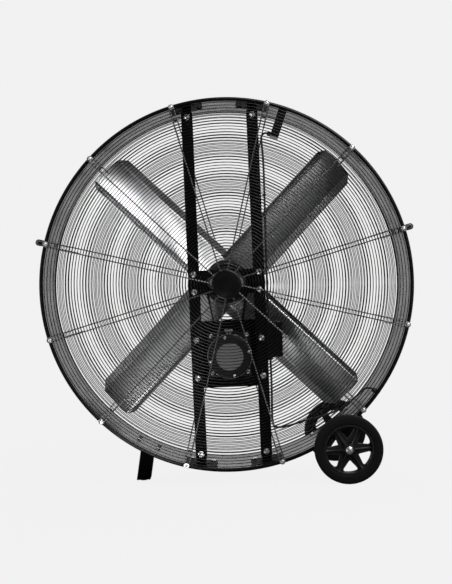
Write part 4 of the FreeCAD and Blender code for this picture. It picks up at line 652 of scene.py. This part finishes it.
def make_guard_spokes(side):
    """Hairpin spokes with a weld where each ring crosses their long legs."""
    word = "intake" if side < 0 else "outlet"
    depth = sum(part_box(f"{word}_guard_spokes"), Vector()).y / 2
    ring_depth = sum(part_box(f"{word}_guard_rings"), Vector()).y / 2
    rim_circle = seat_radius("guard_screws")
    spokes = Shape()
    welds = Shape()
    for number in range(SPOKE_COUNT):
        angle = FIRST_SPOKE + number * 360 / SPOKE_COUNT
        out = outward(angle)
        across = outward(angle + 90) * (-side)
        base = Vector((DRUM_AXIS.x, depth, DRUM_AXIS.z))
        bend = 0.4 * MM
        path = [base + out * SPOKE_INNER_END + across * SPOKE_LOOP,
                base + out * (rim_circle + SPOKE_INNER_END) / 2 + across * (SPOKE_LOOP + bend)]
        for x, y in arc_points((rim_circle, 0), SPOKE_LOOP, 90, -90, 12):
            path.append(base + out * x + across * y)
        path.append(base + out * (rim_circle - SPOKE_SHORT_LEG) - across * SPOKE_LOOP)
        spokes.tube(path, SPOKE_WIRE, 10)
        base.y = (ring_depth + depth) / 2
        for radius in ring_radii():
            reach = math.sqrt(radius ** 2 - SPOKE_LOOP ** 2)
            add_weld(welds, base + out * reach + across * SPOKE_LOOP)
    replaced = [f"{word}_guard_spokes"]
    welds.piece(f"{word}_welds", "drum", "guard_wire", smooth=80)
    # The spokes wear the wire paint lightened to grey: a painted highlight.
    spokes.piece(f"{word}_spokes", "drum", "guard_wire", replaced, 60, "spoke_wire")


def seat_radius(node):
    """How far the first solid of a node stands from the drum's axis."""
    solid = solids_of(node)[0]
    middle = seat_of(solid, Y_AXIS)
    return math.hypot(middle.x - DRUM_AXIS.x, middle.z - DRUM_AXIS.z)


def make_guard_caps():
    """The pressed black disc over each guard's middle, with a rolled lip and a shallow dish."""
    low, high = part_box("guard_caps")
    radius = (high.x - low.x) / 2
    profile = [(0, -0.4 * MM), (radius * 0.30, -0.5 * MM), (radius * 0.78, -1.0 * MM),
               (radius * 0.84, -0.1 * MM), (radius * 0.93, 0), (radius * 0.985, -0.5 * MM),
               (radius, -1.6 * MM), (radius * 0.985, -2.8 * MM), (radius * 0.95, -3.1 * MM),
               (radius * 0.90, -1.9 * MM), (radius * 0.3, -2.2 * MM), (0, -2.1 * MM)]
    caps = Shape()
    for side, face in ((-1, low.y), (1, high.y)):
        caps.turned(profile, aimed((DRUM_AXIS.x, face, DRUM_AXIS.z), Y_AXIS * side), 72)
    caps.piece("middle_caps", "drum", "guard_wire", ["guard_caps"], 50)


# --- fasteners -------------------------------------------------------------------------------

def hexagon_head(shape, place, corner, height, recessed=True):
    """A hexagon head standing on +Z, its corners turned down in a cone."""
    crown = 12
    hexagon = circle(corner, 6)
    middles = [((one[0] + other[0]) / 2, (one[1] + other[1]) / 2, height * 0.94)
               for one, other in zip(hexagon, hexagon[1:] + hexagon[:1])]
    dish_drop = height * 0.14 if recessed else 0
    points = hexagon + circle(corner, 6, height * 0.80) + middles
    points += circle(corner * 0.80, crown, height)
    points += circle(corner * 0.55, crown, height - dish_drop)
    shoulder, flat, top, dish = 6, 12, 18, 18 + crown
    faces = [list(range(6))[::-1]]
    for step in range(6):
        after = (step + 1) % 6
        faces.append([step, after, shoulder + after, flat + step, shoulder + step])
        faces.append([shoulder + step, flat + step, top + 2 * step + 1, top + 2 * step])
        faces.append([flat + step, shoulder + after, top + (2 * step + 2) % crown,
                      top + 2 * step + 1])
    for step in range(crown):
        after = (step + 1) % crown
        faces.append([top + step, top + after, dish + after, dish + step])
    faces.append([dish + step for step in range(crown)])
    shape.add(points, faces, place)


def washer(shape, place, inner, outer, sheet):
    """A plain washer standing on +Z with eased edges."""
    ease = sheet * 0.25
    shape.turned([(inner, 0), (outer - ease, 0), (outer, ease), (outer, sheet - ease),
                  (outer - ease, sheet), (inner, sheet)], place, 28)


def threaded_end(shape, place, radius, length):
    """The end of a screw on +Z, with its thread as a row of ridges and a chamfered point."""
    pitch = 1.25 * MM
    depth = radius * 0.10
    profile = [(0, 0), (radius, 0)]
    height = 0.0
    while height + pitch < length - pitch:
        profile.append((radius, height + pitch * 0.1))
        profile.append((radius - depth, height + pitch * 0.5))
        profile.append((radius, height + pitch * 0.9))
        height += pitch
    profile += [(radius - depth, length - pitch * 0.5), (radius * 0.72, length), (0, length)]
    shape.turned(profile, place, 14)


Bolt = namedtuple("Bolt", "corner head washer sheet shank")
BIG_BOLT = Bolt(7.5 * MM, 5.3 * MM, 9.5 * MM, 1.6 * MM, 4 * MM)
SMALL_BOLT = Bolt(5.6 * MM, 4.0 * MM, 6.2 * MM, 1.6 * MM, 3 * MM)
NUT_TURN = 17


def hex_bolt(shape, top, direction, grip, bolt, spin):
    """A bolt seen from outside: washer and head here, nut and thread at the far side."""
    seat = top - direction * (bolt.head + bolt.sheet)
    head_place = aimed(seat + direction * bolt.sheet, direction, spin)
    back = seat - direction * grip
    nut_place = aimed(back, -direction, spin + NUT_TURN)
    end_place = aimed(back - direction * bolt.head / 2, -direction)
    washer(shape, aimed(seat, direction), bolt.shank, bolt.washer, bolt.sheet)
    hexagon_head(shape, head_place, bolt.corner, bolt.head)
    hexagon_head(shape, nut_place, bolt.corner, bolt.head * 0.92, recessed=False)
    threaded_end(shape, end_place, bolt.shank, bolt.head / 2)


def pan_head(shape, place, radius, height, turn):
    """A domed head on +Z with a cross recess."""
    rings = 9
    segments = 32
    edge = height * 0.35
    points = circle(radius * 0.97, segments)
    for ring in range(rings + 1):
        share = 1 - ring / rings
        arm = radius * 0.17 * (1.1 - 0.5 * share)
        dome = height - edge * share ** 2 if ring else edge
        recess = height * 0.45 * (1 - share) if share < 0.62 else 0
        for x, y, _ in circle(radius * share, segments):
            turned_x = x * math.cos(turn) + y * math.sin(turn)
            turned_y = y * math.cos(turn) - x * math.sin(turn)
            crossed = min(abs(turned_x), abs(turned_y)) < arm
            points.append((x, y, dome - recess if crossed else dome))
    faces = skin(zip(range(rings + 1), range(1, rings + 2)), segments)
    faces.append(list(range(segments))[::-1])
    shape.add(points, faces, place)


def from_drum_axis(middle):
    """The direction out from the drum's axis through a point."""
    return Vector((middle.x - DRUM_AXIS.x, 0, middle.z - DRUM_AXIS.z)).normalized()


def make_bolts(name, node, direction_at, grip, bolt):
    """Detailed bolts in the places of a CAD node's solids."""
    chance = random.Random(len(node))
    bolts = Shape()
    for solid in ordered_solids(node):
        middle = seat_of(solid, Y_AXIS)
        direction = direction_at(middle)
        hex_bolt(bolts, seat_of(solid, direction), direction, grip, bolt, chance.uniform(0, 60))
    bolts.piece(name, "drum", "zinc_steel", [node], 30)


def make_guard_screws():
    """Pan-head screws and washers that clamp the spokes' loops to the rims."""
    head = 4 * MM
    sheet = 1.6 * MM
    shank = 2.4 * MM
    chance = random.Random(7)
    screws = Shape()
    for solid in ordered_solids("guard_screws"):
        direction = Y_AXIS if seat_of(solid, Y_AXIS).y > 0 else -Y_AXIS
        seat = seat_of(solid, direction) - direction * (head + sheet)
        head_place = aimed(seat + direction * sheet, direction)
        washer(screws, aimed(seat, direction), shank, 7.8 * MM, sheet)
        pan_head(screws, head_place, 5.2 * MM, head, chance.uniform(0, 1.5))
        threaded_end(screws, aimed(seat, -direction), shank, 13.5 * MM)
    screws.piece("rim_screws", "drum", "zinc_steel", ["guard_screws"], 32)


def make_plain_screws(name, node, radius, height):
    """Pan-head screws in the places of a CAD node's solids that face the intake."""
    chance = random.Random(11)
    screws = Shape()
    for solid in ordered_solids(node):
        top = seat_of(solid, -Y_AXIS)
        seat = top + Y_AXIS * height
        length = seat_of(solid, Y_AXIS).y - top.y - height
        pan_head(screws, aimed(seat, -Y_AXIS), radius, height, chance.uniform(0, 1.5))
        threaded_end(screws, aimed(seat, Y_AXIS), radius * 0.54, length)
    screws.piece(name, "drum", "zinc_steel", [node], 32)


# --- wheels ----------------------------------------------------------------------------------

WHEEL_TURN = 32.5
WINDOWS = 6
WINDOW_STEP = 360 / WINDOWS
RIM_OUTER = 75 * MM
RIM_INNER = 68 * MM
WEB_HALF = 5 * MM


def make_tyre(word):
    """A solid tyre with rounded shoulders, a bead line and four grooves round its tread."""
    low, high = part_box(f"{word}_tyre")
    outer = (high.z - low.z) / 2
    half = (high.y - low.y) / 2
    bend = 8 * MM
    groove_half = 1.7 * MM
    groove_floor = 1.0 * MM
    groove_depth = 1.6 * MM
    shoulder = [(RIM_OUTER, -half + 3 * MM), (RIM_OUTER + 1.5 * MM, -half + 1.2 * MM),
                (RIM_OUTER + 4 * MM, -half + 0.4 * MM), (RIM_OUTER + 8.5 * MM, -half),
                (RIM_OUTER + 9.3 * MM, -half + 0.9 * MM), (RIM_OUTER + 10.1 * MM, -half + 0.1 * MM)]
    shoulder += arc_points((outer - bend, -half + bend), bend, -90, -12, 8)
    profile = list(shoulder)
    for groove in (-11 * MM, -3.7 * MM, 3.7 * MM, 11 * MM):
        profile += [(outer, groove - groove_half), (outer - groove_depth, groove - groove_floor),
                    (outer - groove_depth, groove + groove_floor), (outer, groove + groove_half)]
    tyre = Shape()
    tyre.turned(profile + mirrored(shoulder), aimed((low + high) / 2, -Y_AXIS), 144)
    tyre.piece(f"{word}_wheel_tyre", f"{word}_wheel", "tyre", [f"{word}_tyre"], 35)


def window_outline():
    """One window between two spokes: a rounded triangle with its point towards the hub."""
    steps = 6
    near = 32.5 * MM
    far = 66.0 * MM
    half_width = 21.5 * MM
    round_far = 7 * MM
    round_near = 4 * MM
    lean = math.degrees(math.atan2(half_width - round_near, far - near))
    points = arc_points((near + round_near, 0), round_near, 90 + lean, 270 - lean, steps)
    points += arc_points((far - round_far, round_far - half_width), round_far, -90 - lean, 0, steps)
    points += [(far + 3 * MM, -half_width * 0.33), (far + 3 * MM, half_width * 0.33)]
    points += arc_points((far - round_far, half_width - round_far), round_far, 0, 90 + lean, steps)
    return points


def make_wheel_centre(word):
    """A moulded centre: hub, web with six windows, a ridge on each spoke, and a deep rim."""
    low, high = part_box(f"{word}_wheel_centre")
    centre = (low + high) / 2
    half = (high.y - low.y) / 2
    bore = 8.1 * MM
    rim_half = half - 3 * MM
    ease = 1 * MM
    hub = [(bore, 0), (20 * MM, 0), (18.5 * MM, half - 9 * MM), (17 * MM, half - 2.5 * MM),
           (15.5 * MM, half - 0.5 * MM), (14 * MM, half), (bore + ease, half), (bore, half - ease)]
    rim = [(RIM_INNER, -rim_half + 2 * MM), (RIM_INNER + 1.5 * MM, -rim_half),
           (RIM_OUTER - ease, -rim_half), (RIM_OUTER, -rim_half + ease)]
    rim += mirrored(rim) + [(RIM_INNER - 0.5 * MM, 0)]
    wheel = Shape()
    for side in (-1, 1):
        wheel.turned(hub, aimed(centre, Y_AXIS * side), 48)
    wheel.turned(rim, aimed(centre, -Y_AXIS), 96)
    web = wheel_web(RIM_INNER + ease)
    wheel.add([vert.co for vert in web.vertices], [list(face.vertices) for face in web.polygons],
              aimed(centre, -Y_AXIS))
    for number in range(WINDOWS):
        for side in (-1, 1):
            add_spoke_ridge(wheel, centre, WHEEL_TURN + WINDOW_STEP * (number + 0.5), side, half)
    wheel.piece(f"{word}_wheel_moulding", f"{word}_wheel", "wheel_plastic",
                [f"{word}_wheel_centre"], 34)


def wheel_web(outer):
    """The web as a mesh, from a flat curve with holes."""
    ease = 0.8 * MM
    curve = bpy.data.curves.new("web", "CURVE")
    curve.dimensions = "2D"
    curve.fill_mode = "BOTH"
    curve.extrude = WEB_HALF - ease
    curve.bevel_depth = ease
    curve.bevel_resolution = 2
    outlines = [[(x, y) for x, y, _ in circle(outer - ease, 96)]]
    for number in range(WINDOWS):
        turn = math.radians(WHEEL_TURN + WINDOW_STEP * number)
        outlines.append([(x * math.cos(turn) - y * math.sin(turn),
                          x * math.sin(turn) + y * math.cos(turn)) for x, y in window_outline()])
    for outline in outlines:
        spline = curve.splines.new("POLY")
        spline.points.add(len(outline) - 1)
        spline.use_cyclic_u = True
        for point, (x, y) in zip(spline.points, outline):
            point.co = (x, y, 0, 1)
    item = bpy.data.objects.new("web", curve)
    bpy.context.scene.collection.objects.link(item)
    mesh = bpy.data.meshes.new_from_object(item.evaluated_get(
        bpy.context.evaluated_depsgraph_get()))
    bpy.data.objects.remove(item)
    bpy.data.curves.remove(curve)
    return mesh


def add_spoke_ridge(wheel, centre, angle, side, hub_half):
    """A ridge down the middle of a spoke, tall at the hub and low at the rim."""
    stations = [(16 * MM, 5.5 * MM, hub_half - 4 * MM), (28 * MM, 4.6 * MM, WEB_HALF + 9 * MM),
                (45 * MM, 4.2 * MM, WEB_HALF + 6 * MM), (60 * MM, 5.2 * MM, WEB_HALF + 5 * MM),
                (69 * MM, 7.0 * MM, WEB_HALF + 7 * MM)]
    points = []
    for radius, half_width, top in stations:
        section = [(-1, WEB_HALF - 1 * MM), (-0.72, top * 0.86), (-0.28, top),
                   (0.28, top), (0.72, top * 0.86), (1, WEB_HALF - 1 * MM)]
        points += [(radius, half_width * share, height) for share, height in section]
    last_row = len(stations) - 1
    faces = skin(zip(range(last_row), range(1, last_row + 1)), len(section))
    faces += end_faces(last_row, len(section))
    turn = Matrix.Rotation(math.radians(-angle), 4, "Y")
    lay = Matrix.Rotation(math.radians(-90 * side), 4, "X")
    wheel.add(points, faces, Matrix.Translation(centre) @ turn @ lay)


def make_axle_caps():
    """Domed push-on caps at the axle's ends."""
    low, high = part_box("axle_caps")
    centre = (low + high) / 2
    profile = [(0, 0), (3 * MM, -0.1 * MM), (3.6 * MM, -0.7 * MM), (5.5 * MM, -0.5 * MM),
               (7.6 * MM, -1.0 * MM), (9.0 * MM, -2.4 * MM), (9.4 * MM, -4.4 * MM),
               (9.6 * MM, -5.2 * MM), (11.2 * MM, -6.0 * MM), (11.4 * MM, -7 * MM),
               (8.2 * MM, -7 * MM), (8.2 * MM, -3 * MM), (0, -2.2 * MM)]
    caps = Shape()
    for side, face in ((-1, low.y), (1, high.y)):
        caps.turned(profile, aimed((centre.x, face, centre.z), Y_AXIS * side), 40)
    caps.piece("axle_end_caps", "drum", "zinc_steel", ["axle_caps"], 40)


# --- blades ----------------------------------------------------------------------------------

BLADE_PITCH = math.radians(25)
BLADE_TIP = 528 * MM
BLADE_ROOT = 50 * MM
BLADE_SHEET = 2 * MM
BLADE_DEPTH = 75 * MM
BLADE_BOW = 4 * MM
FLANGE = 20.6 * MM
CREASE = 54 * MM
TIP_CORNER = 24 * MM
LEAD_SIDE = 63.8 * MM
TRAIL_SIDE = 72.5 * MM
BLADE_STEPS = 60


def blade_profile():
    """The sheet's front across a blade: (distance across its own plane, depth behind it)."""
    trail = -80.1 * MM
    lead = 70.5 * MM
    fold = trail + FLANGE
    first = fold + 2 * MM
    last = CREASE - 3.5 * MM
    lip = BLADE_BOW + 2.2 * MM
    profile = [(trail, BLADE_BOW - FLANGE * math.tan(BLADE_PITCH)),
               (fold - 1.5 * MM, BLADE_BOW - 0.8 * MM), (fold, BLADE_BOW - 0.2 * MM)]
    for step in range(25):
        across = first + (last - first) * step / 24
        reach = -fold if across < 0 else CREASE
        profile.append((across, BLADE_BOW * (across / reach) ** 2))
    profile += [(CREASE - 1.5 * MM, BLADE_BOW + 2.0 * MM), (CREASE, BLADE_BOW + 4.5 * MM),
                (CREASE + 1.5 * MM, BLADE_BOW + 3.4 * MM), (CREASE + 3.2 * MM, lip),
                (lead - 2 * MM, lip - 2.8 * MM), (lead, lip - 2.9 * MM)]
    return profile


def blade_end(across):
    """How far out a blade reaches at a distance from its middle, seen along the fan's axis."""
    reach = math.sqrt((BLADE_TIP - 0.2 * MM) ** 2 - across ** 2)
    side = LEAD_SIDE if across > 0 else TRAIL_SIDE
    inside = min(TIP_CORNER - (side - abs(across)), TIP_CORNER)
    if inside > 0:
        reach -= TIP_CORNER - math.sqrt(TIP_CORNER ** 2 - inside ** 2)
    return reach


def make_blade(number):
    """A pressed blade: a bowed sheet, a crease with a lip ahead of it and a folded flange."""
    profile = blade_profile()
    width = BLADE_STEPS + 1
    half = len(profile)
    points = []
    for front in (0.0, BLADE_SHEET):
        for across, depth in profile:
            seen = across * math.cos(BLADE_PITCH) + depth * math.sin(BLADE_PITCH)
            length = blade_end(seen) - BLADE_ROOT
            points += [(BLADE_ROOT + length * step / BLADE_STEPS, depth + front, across)
                       for step in range(width)]
    pairs = [(row, row + 1) for row in range(2 * half - 1) if row != half - 1]
    faces = skin(pairs + [(0, half), (half - 1, 2 * half - 1)], width, closed=False)
    for step in (0, BLADE_STEPS):
        faces += [[row * width + step, (row + 1) * width + step, (row + half + 1) * width + step,
                   (row + half) * width + step] for row in range(half - 1)]
    middle = Vector((FAN_AXIS.x, BLADE_DEPTH, FAN_AXIS.z))
    turn = Matrix.Rotation(math.radians(45 - 90 * number), 4, "Y")
    pitch = Matrix.Rotation(BLADE_PITCH, 4, "X")
    blade = Shape()
    blade.add(points, faces, Matrix.Translation(middle) @ turn @ pitch)
    blade.piece(f"pressed_blade_{number}", "fan", "blade_metal", [f"blade_{number}"], 50)


# --- belt ------------------------------------------------------------------------------------

def belt_route(low, high):
    """The belt's outer line: round the fan's pulley, down, round the motor's and back up."""
    straight_steps = 44
    large = (high.x - low.x) / 2
    small_low, small_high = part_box("motor_pulley")
    small = (small_high.x - small_low.x) / 2
    lean = -math.degrees(math.asin((large - small) / (FAN_AXIS.z - MOTOR_AXIS.z)))
    middle = (low.y + high.y) / 2
    top = arc_points((0, FAN_AXIS.z), large, lean, 180 - lean, 96)
    bottom = arc_points((0, MOTOR_AXIS.z), small, 180 - lean, 360 + lean, 40)
    route = [Vector((x, middle, z)) for x, z in top]
    turn = [Vector((x, middle, z)) for x, z in bottom]
    shares = [step / straight_steps for step in range(1, straight_steps)]
    route += [route[-1].lerp(turn[0], share) for share in shares] + turn
    return route + [route[-1].lerp(route[0], share) for share in shares]


def make_belt():
    """A V-belt with a rounded back and moulded notches on its inside."""
    low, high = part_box("drive_belt")
    half = (high.y - low.y) / 2
    inside = -7.6 * MM
    pitch = 5 * MM
    notch_depth = 1.6 * MM
    back = [(-half * 0.97, -0.9 * MM), (-half * 0.88, -0.25 * MM), (-half * 0.45, 0),
            (half * 0.45, 0), (half * 0.88, -0.25 * MM), (half * 0.97, -0.9 * MM)]
    profile = [(-half * 0.62, inside)] + back + [(half * 0.62, inside)]
    route = belt_route(low, high)
    points = []
    travelled = 0.0
    for number, point in enumerate(route):
        along = (route[(number + 1) % len(route)] - route[number - 1]).normalized()
        out = Vector((along.z, 0, -along.x))
        travelled += (point - route[number - 1]).length if number else 0
        notch = notch_depth if (travelled / pitch) % 1 < 0.45 else 0
        for depth, height in profile:
            raised = height + (notch if height == inside else 0)
            points.append(point + Y_AXIS * depth + out * raised)
    belt = Shape()
    rows = list(range(len(route)))
    belt.add(points, skin(zip(rows, rows[1:] + rows[:1]), len(profile)))
    belt.piece("notched_belt", "drum", "belt_rubber", ["drive_belt"], 40)


# --- handles and drum ------------------------------------------------------------------------

def make_handle_grips():
    """Rubber grips with rounded ends, a plain collar at each end and ridges between them."""
    grips = Shape()
    round_over = 2 * MM
    collar = 8 * MM
    valley = 1.2 * MM
    ridge_pitch = 7 * MM
    for solid in solids_of("handle_grips"):
        tip = seat_of(solid, Y_AXIS)
        middle = seat_of(solid, Z_AXIS)
        half = tip.y - middle.y
        outer = middle.z - tip.z
        inner = min(math.hypot(point.x - tip.x, point.z - tip.z) for point in solid)
        end = [(inner, -half)]
        end += arc_points((outer - round_over, -half + round_over), round_over, -90, 0, 6)
        end += [(outer, -half + collar - valley), (outer - valley, -half + collar)]
        profile = list(end)
        reach = int((half - collar) / ridge_pitch)
        for step in range(-reach + 1, reach):
            ridge = step * ridge_pitch
            profile += [(outer - valley, ridge - 2 * valley), (outer, ridge - valley),
                        (outer, ridge + valley), (outer - valley, ridge + 2 * valley)]
        profile += mirrored(end)
        grips.turned(profile, aimed(Vector((tip.x, middle.y, tip.z)), Y_AXIS), 40)
    grips.piece("ridged_grips", "drum", "rubber", ["handle_grips"], 34)


def make_drum():
    """The rolled drum: a thin wall with a curled bead at each rim."""
    low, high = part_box("drum_shell")
    outer = (high.x - low.x) / 2
    half = (high.y - low.y) / 2
    bead = 6 * MM
    wall_outer = outer - 8 * MM
    wall_inner = wall_outer - 2 * MM
    rim = arc_points((outer - bead, half - bead), bead, -145, 180, 14)
    profile = [(wall_outer, -half + 2 * bead), (wall_outer, half - 2 * bead)] + rim
    profile += [(wall_inner, half - bead * 1.2), (wall_inner, -half + bead * 1.2)] + mirrored(rim)
    drum = Shape()
    drum.turned(profile, aimed(DRUM_AXIS, Y_AXIS), 288)
    drum.piece("rolled_drum", "drum", "drum_paint", ["drum_shell"], 30)


make_camera()
make_world()
make_lights()
make_floor()
make_materials()
dress_cad_nodes()
for guard_side in (-1, 1):
    make_guard_rings(guard_side)
    make_guard_spokes(guard_side)
make_guard_caps()
make_guard_screws()
make_bolts("strut_bolt_set", "strut_bolts", lambda middle: -Y_AXIS, 54 * MM, BIG_BOLT)
make_bolts("wall_bolt_set", "wall_bolts", from_drum_axis, 6.5 * MM, BIG_BOLT)
make_bolts("mount_bolt_set", "motor_mount_bolts", lambda middle: -Y_AXIS, 9 * MM, SMALL_BOLT)
make_plain_screws("through_bolt_set", "motor_through_bolts", 4.6 * MM, 4 * MM)
for wheel_side in ("near", "far"):
    make_tyre(wheel_side)
    make_wheel_centre(wheel_side)
make_axle_caps()
for blade_number in range(1, 5):
    make_blade(blade_number)
make_belt()
make_handle_grips()
make_drum()
